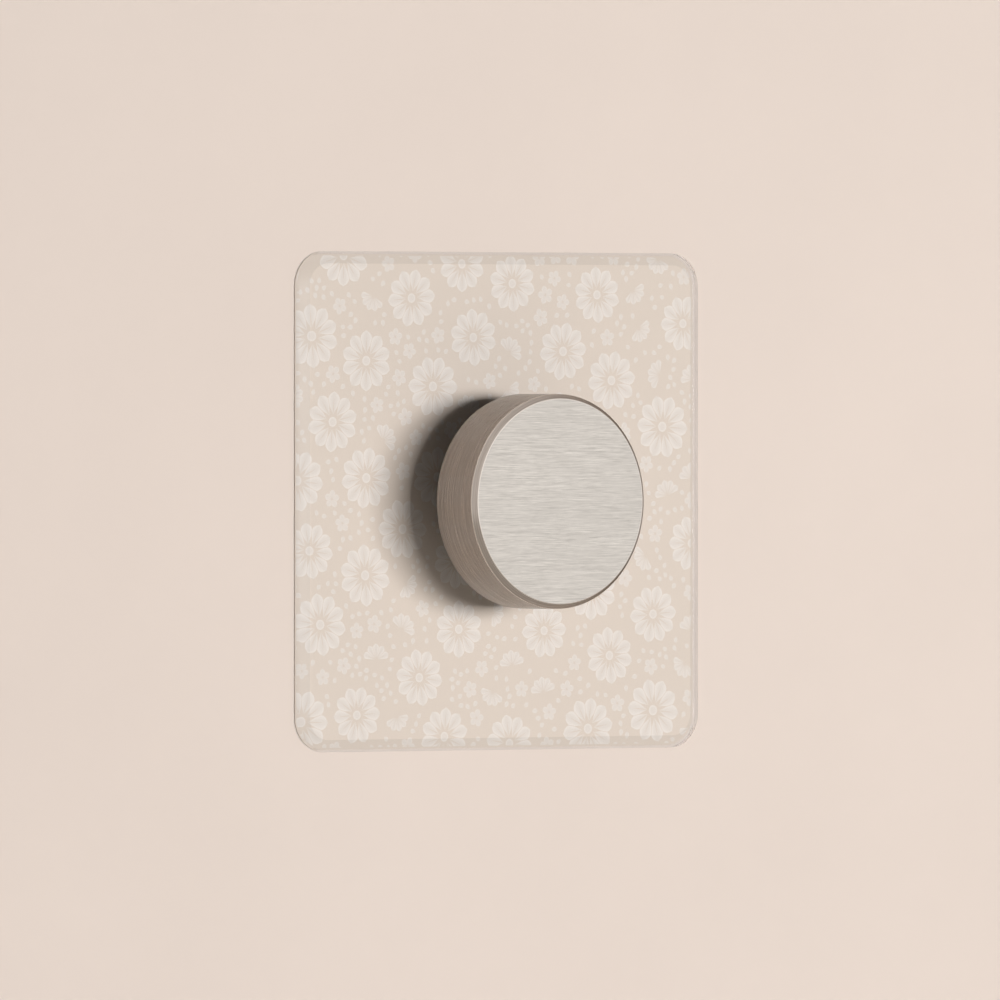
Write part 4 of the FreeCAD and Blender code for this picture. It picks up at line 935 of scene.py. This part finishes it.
def makeThreadTree():
    tree, given, result = newTree(
        "screwThread",
        "GeometryNodeTree",
        [
            ("Geometry", "Geometry", None),
            ("Pitch", "Float", 0.0006),
            ("Turns", "Float", 10.0),
            ("Root", "Float", 0.0014),
            ("Crest", "Float", 0.0017),
            ("First", "Vector", None),
            ("Step", "Vector", None),
            ("Count", "Int", 1),
            ("Material", "Material", None),
        ],
        [("Geometry", "Geometry")],
    )
    rise = maths(tree, "MULTIPLY", given["Pitch"], given["Turns"])
    root, stepsPerTurn = given["Root"], 20
    spiral = {"Resolution": stepsPerTurn, "Rotations": given["Turns"], "Height": rise}
    spiral.update({"Start Radius": root, "End Radius": root})
    helix = firstOf(tree, "GeometryNodeCurveSpiral", spiral)
    upright = firstOf(tree, "GeometryNodeSetCurveNormal", {"Curve": helix}, mode="Z_UP")
    ridge = maths(tree, "SUBTRACT", given["Crest"], root)
    profile = firstOf(tree, "GeometryNodeCurvePrimitiveCircle", {"Resolution": 4, "Radius": ridge})
    sweep = {"Curve": upright, "Profile Curve": profile, "Fill Caps": True}
    swept = firstOf(tree, "GeometryNodeCurveToMesh", sweep)
    along = (-math.pi / 2, 0.0, 0.0)
    laid = firstOf(tree, "GeometryNodeTransform", {"Geometry": swept, "Rotation": along})
    row = {"Count": given["Count"], "Start Location": given["First"], "Offset": given["Step"]}
    line = firstOf(tree, "GeometryNodeMeshLine", row)
    placed = firstOf(tree, "GeometryNodeInstanceOnPoints", {"Points": line, "Instance": laid})
    real = firstOf(tree, "GeometryNodeRealizeInstances", {"Geometry": placed})
    finished = {"Geometry": real, "Material": given["Material"]}
    feed(tree, result, {"Geometry": firstOf(tree, "GeometryNodeSetMaterial", finished)})
    return tree


def threadedMesh(tree, nodeName, head):
    # the head keeps its CAD form; past the start of the thread come a core and a helix
    s = threadSizes[nodeName]
    name = nodeName + "Thread"
    bm = bmesh.new()
    bm.from_mesh(head)
    start = Vector((0, s["start"] * mm, 0))
    cut = bmesh.ops.bisect_plane(
        bm, geom=everything(bm), plane_co=start, plane_no=(0, 1, 0), clear_outer=True
    )
    edges = [item for item in cut["geom_cut"] if isinstance(item, bmesh.types.BMEdge)]
    bmesh.ops.holes_fill(bm, edges=edges, sides=0)
    core, foot, end, tip = s["root"], s["start"] - s["sunk"], s["end"], s["tip"]
    line = [(0, foot), (core, foot), (core, end), (core - (tip - end), tip), (0, tip)]
    (firstX, firstZ), (stepX, stepZ) = s["first"], s["step"]
    for k in range(s["count"]):
        rings = turnedRings(bm, line, s["coreSides"])
        middle = Vector((firstX + k * stepX, 0, firstZ + k * stepZ)) * mm
        for vert in [v for ring in rings for v in ring]:
            vert.co += middle
        joinRings(bm, rings, closed=False)
    helper = newObject(name, bpy.data.meshes.new(name))
    modifier = helper.modifiers.new("thread", "NODES")
    modifier.node_group = tree
    ridge = s["crest"] - s["root"]
    length = s["end"] - s["start"] - 2 * ridge
    setInputs(
        modifier,
        {
            "Pitch": s["pitch"] * mm,
            "Turns": length / s["pitch"],
            "Root": s["root"] * mm,
            "Crest": s["crest"] * mm,
            "First": (firstX * mm, (s["start"] + ridge) * mm, firstZ * mm),
            "Step": (stepX * mm, 0.0, stepZ * mm),
            "Count": s["count"],
            "Material": materials[slotOf[nodeName]],
        },
    )
    bm.from_mesh(bakedMesh(helper, name))
    bpy.data.objects.remove(helper)
    mesh = finishMesh(bm, nodeName + "Threaded")
    mesh.materials.append(materials[slotOf[nodeName]])
    return mesh


# how wide each CAD node's sharp edges are rounded
edgeSizes = {
    "mounting_frame": 0.14,
    "heat_sink": 0.18,
    "module_cover": 0.22,
    "earth_terminal": 0.25,
    "earth_screw": 0.12,
    "plate_nut": 0.15,
    "plate_washer": 0.1,
    "pot_bush": 0.1,
    "spindle": 0.12,
    "knob_insert": 0.12,
    "knob_clip": 0.08,
    "module_screws": 0.1,
    "cover_screws": 0.1,
    "terminal_block": 0.18,
    "terminal_bodies": 0.15,
    "terminal_screws": 0.1,
    "pot_case": 0.15,
    "switch_case": 0.18,
    "switch_base": 0.12,
    "plunger": 0.12,
    "wiper_rotor": 0.12,
    "transistor_body": 0.12,
    "transistor_tab": 0.06,
    "film_capacitor": 0.35,
    "rectifier": 0.15,
    "control_chip": 0.06,
    "fuse_link": 0.3,
    "surge_absorber": 0.5,
    "choke_core": 0.5,
    "electrolytic_capacitor": 0.4,
    "box_screws": 0.12,
}
# weld: in metres; faces that turn by less than flatAngle are joined
softSizes = {"weld": 2e-6, "flatAngle": 0.5, "sharpAngle": 30, "segments": 2}


def softMesh(nodeName, width, sharpAngle):
    # the node's mesh, joined into whole faces and with its sharp edges rounded
    bm = bmesh.new()
    bm.from_mesh(nodes[nodeName].data)
    bm.transform(nodes[nodeName].matrix_world)
    bmesh.ops.remove_doubles(bm, verts=bm.verts, dist=softSizes["weld"])
    flat = math.radians(softSizes["flatAngle"])
    bmesh.ops.dissolve_limit(bm, angle_limit=flat, verts=bm.verts, edges=bm.edges)
    mesh = bpy.data.meshes.new(nodeName + "Soft")
    bm.to_mesh(mesh)
    bm.free()
    for face in mesh.polygons:
        face.use_smooth = True
    mesh.materials.clear()
    mesh.materials.append(materials[slotOf[nodeName]])
    helper = newObject(nodeName + "Soft", mesh)
    bevel = helper.modifiers.new("softEdges", "BEVEL")
    bevel.width = width * mm
    bevel.segments = softSizes["segments"]
    bevel.limit_method = "ANGLE"
    bevel.angle_limit = math.radians(sharpAngle)
    even = helper.modifiers.new("evenNormals", "WEIGHTED_NORMAL")
    even.keep_sharp = True
    ready = bakedMesh(helper, nodeName + "Soft")
    bpy.data.objects.remove(helper)
    return ready


def camelName(nodeName):
    first, *others = nodeName.split("_")
    return first + "".join(word.capitalize() for word in others)


springSizes = {
    "sharpAngle": 60,
    "travel": 1.5,  # how far the knob pushes it
}


def makeReturnSpring():
    # the spring as a piece with a mesh of its own
    mesh = softMesh("return_spring", 0.0, springSizes["sharpAngle"])
    piece = asPiece("returnSpring", mesh, "return_spring")
    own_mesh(piece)


def makeSoftPieces():
    tree = makeThreadTree()
    total = 0
    for nodeName, width in edgeSizes.items():
        mesh = softMesh(nodeName, width, softSizes["sharpAngle"])
        if nodeName in threadSizes:
            mesh = threadedMesh(tree, nodeName, mesh)
        total += len(mesh.polygons)
        asPiece(camelName(nodeName), mesh, nodeName)
    print("soft pieces made,", total, "faces")


makeSoftPieces()
makeReturnSpring()


# in metres; glow: how bright the floor looks, glowShare: how much of that look is its own light
stageSizes = {
    "wallSide": 3.0,
    "wallCorner": 0.01,
    "wallOpening": 0.0395,
    "openingCorner": 0.004,
    "cornerSteps": 8,
    "wallBehind": -0.0001,
    "floorDrop": 0.9,
    "wallColour": (227, 213, 203),
    "floorColour": (232, 228, 222),
    "floorHalf": 3.0,
    "glow": 0.92,
    "glowShare": 0.85,
}


def makeWallMaterial():
    # painted wall that is see-through from behind, so that the module can be looked at
    material, tree, point, shader = startMaterial("wallPaint")
    base = linear(stageSizes["wallColour"])
    skin = placeGroup(tree, mouldedSkin, {"Point": point, "Grain": 1.4, "Patch": 0.02})
    toned = mixColour(tree, skin["Tone"], shade(base, 0.988), shade(base, 1.012))
    values = {"Base Color": toned, "Roughness": 0.9, "Specular IOR Level": 0.15}
    feed(tree, shader.inputs, values)
    addRelief(tree, shader, skin["Height"], strength=0.12, depth=0.04)
    side = addNode(tree, "ShaderNodeNewGeometry")
    clear = addNode(tree, "ShaderNodeBsdfTransparent")
    mixSurface(tree, side.outputs["Backfacing"], shader, clear)
    return material


def directlySeen(tree, ray):
    # 1 where the camera looks at it, also by way of metal or glass
    eye = maths(tree, "MAXIMUM", ray["Is Camera Ray"], ray["Is Glossy Ray"])
    return maths(tree, "MAXIMUM", eye, ray["Is Transmission Ray"])


def makeFloorMaterial():
    # pale floor, which stays pale to the eye and in reflections, and still takes a shadow
    material, tree, point, shader = startMaterial("floorPaint")
    s = stageSizes
    base = linear(s["floorColour"])
    skin = placeGroup(tree, mouldedSkin, {"Point": point, "Grain": 0.6, "Patch": 0.004})
    toned = mixColour(tree, skin["Tone"], shade(base, 0.985), shade(base, 1.015))
    feed(tree, shader.inputs, {"Base Color": toned, "Roughness": 0.85})
    glow = addNode(tree, "ShaderNodeEmission", {"Color": toned, "Strength": s["glow"]})
    ray = addNode(tree, "ShaderNodeLightPath").outputs
    most = maths(tree, "MULTIPLY", directlySeen(tree, ray), s["glowShare"])
    mixSurface(tree, most, shader, glow)
    return material


def makeStage():
    s = stageSizes
    bm = bmesh.new()
    inner = roundedSquare(s["wallOpening"], s["openingCorner"], s["cornerSteps"])
    outer = roundedSquare(s["wallSide"] / 2, s["wallCorner"], s["cornerSteps"])
    rings = [[bm.verts.new((x, s["wallBehind"], z)) for x, z in ring] for ring in (outer, inner)]
    joinRings(bm, rings, closed=False)
    wallMesh = bpy.data.meshes.new("wall")
    bm.to_mesh(wallMesh)
    bm.free()
    if wallMesh.polygons[0].normal.y > 0:
        wallMesh.flip_normals()
    wallMesh.materials.append(makeWallMaterial())
    floorMesh = bpy.data.meshes.new("floor")
    far, down = s["floorHalf"], -s["floorDrop"]
    corners = [(-far, -far, down), (far, -far, down), (far, far, down), (-far, far, down)]
    floorMesh.from_pydata(corners, [], [(0, 1, 2, 3)])
    floorMesh.materials.append(makeFloorMaterial())
    for name, mesh in (("wall", wallMesh), ("floor", floorMesh)):
        newObject(name, mesh)


# one lamp in front, three behind the wall; lengths in metres, mirrored: whether metal shows the
# lamp itself
lampSizes = {
    "key": {
        "angle": 12.0, "rise": 2.0, "distance": 1.8, "wide": 0.94, "high": 0.34, "watts": 29.4,
        "colour": (1.0, 0.999, 0.998), "mirrored": False,
    },
    "rearHigh": {
        "angle": 184.0, "rise": 52.0, "distance": 1.6, "wide": 2.2, "high": 1.4, "watts": 15.0,
        "colour": (1.0, 0.99, 0.98), "mirrored": True,
    },
    "rearLeft": {
        "angle": 236.0, "rise": 10.0, "distance": 1.5, "wide": 1.5, "high": 1.8, "watts": 15.0,
        "colour": (1.0, 0.99, 0.98), "mirrored": True,
    },
    "rearRight": {
        "angle": 124.0, "rise": 6.0, "distance": 1.5, "wide": 1.5, "high": 1.8, "watts": 11.0,
        "colour": (1.0, 0.99, 0.98), "mirrored": True,
    },
}
# diffuse and seen: how bright the sky lights dull surfaces, and how bright it looks;
# glow: what metal sees on top of that in the direction given by angle and rise
skySizes = {
    "colour": (1.0, 0.99, 0.98),
    "diffuse": 0.052,
    "seen": 0.86,
    "glow": 0.5,
    "angle": 4.0,
    "rise": 6.0,
}


def directionOf(angle, rise):
    turn, lift = math.radians(angle), math.radians(rise)
    level = math.cos(lift)
    return Vector((math.sin(turn) * level, -math.cos(turn) * level, math.sin(lift)))


def makeLamps():
    for name, s in lampSizes.items():
        lamp = bpy.data.lights.new(name, "AREA")
        lamp.shape = "RECTANGLE"
        lamp.size, lamp.size_y = s["wide"], s["high"]
        lamp.energy = s["watts"]
        lamp.color = s["colour"]
        holder = newObject(name, lamp)
        holder.visible_glossy = s["mirrored"]
        away = directionOf(s["angle"], s["rise"])
        holder.location = away * s["distance"]
        holder.rotation_euler = (-away).to_track_quat("-Z", "Y").to_euler()


def makeSky():
    world = bpy.data.worlds.new("sky")
    bpy.context.scene.world = world
    world.use_nodes = True
    tree = world.node_tree
    tree.nodes.clear()
    s = skySizes
    colour = (*s["colour"], 1.0)
    lit = addNode(tree, "ShaderNodeBackground", {"Color": colour, "Strength": s["diffuse"]})
    seen = addNode(tree, "ShaderNodeBackground", {"Color": colour})
    ray = addNode(tree, "ShaderNodeLightPath").outputs
    direction = addNode(tree, "ShaderNodeTexCoord").outputs["Generated"]
    middle = directionOf(s["angle"], s["rise"])
    towards = vectorMaths(tree, "DOT_PRODUCT", direction, middle)["Value"]
    ends = {0: towards, 1: 0.0, 2: 1.0, 3: 0.0, 4: s["glow"]}
    glow = firstOf(tree, "ShaderNodeMapRange", ends, interpolation_type="SMOOTHSTEP")
    strength = maths(tree, "MULTIPLY_ADD", glow, ray["Is Glossy Ray"], s["seen"])
    feed(tree, seen.inputs, {"Strength": strength})
    either = {0: directlySeen(tree, ray), 1: lit.outputs[0], 2: seen.outputs[0]}
    both = firstOf(tree, "ShaderNodeMixShader", either)
    addNode(tree, "ShaderNodeOutputWorld", {"Surface": both})


cameraSizes = {
    "azimuth": -36.5,
    "elevation": 0.3,
    "distance": 3.01,  # this, near and far in metres
    "near": 0.1,
    "far": 20.0,
    "lens": 626.9,
    "sensor": 36.0,
    "pixelsRight": 6.0,  # how far the picture's middle lies from the spindle's axis
    "pixelsUp": 1.0,
    "pixelsPerMillimetre": 5.785,
}


def makeCamera():
    s = cameraSizes
    camera = bpy.data.cameras.new("camera")
    camera.lens = s["lens"]
    camera.sensor_width = s["sensor"]
    camera.clip_start, camera.clip_end = s["near"], s["far"]
    holder = newObject("camera", camera)
    away = directionOf(s["azimuth"], s["elevation"])
    right = directionOf(s["azimuth"] + 90, 0)
    perPixel = mm / s["pixelsPerMillimetre"]
    aim = right * s["pixelsRight"] * perPixel + Vector((0, 0, s["pixelsUp"] * perPixel))
    holder.location = aim + away * s["distance"]
    holder.rotation_euler = (-away).to_track_quat("-Z", "Y").to_euler()
    bpy.context.scene.camera = holder


makeStage()
makeLamps()
makeSky()
makeCamera()
bpy.context.scene.view_settings.view_transform = "Standard"
print("stage, lamps and camera made")
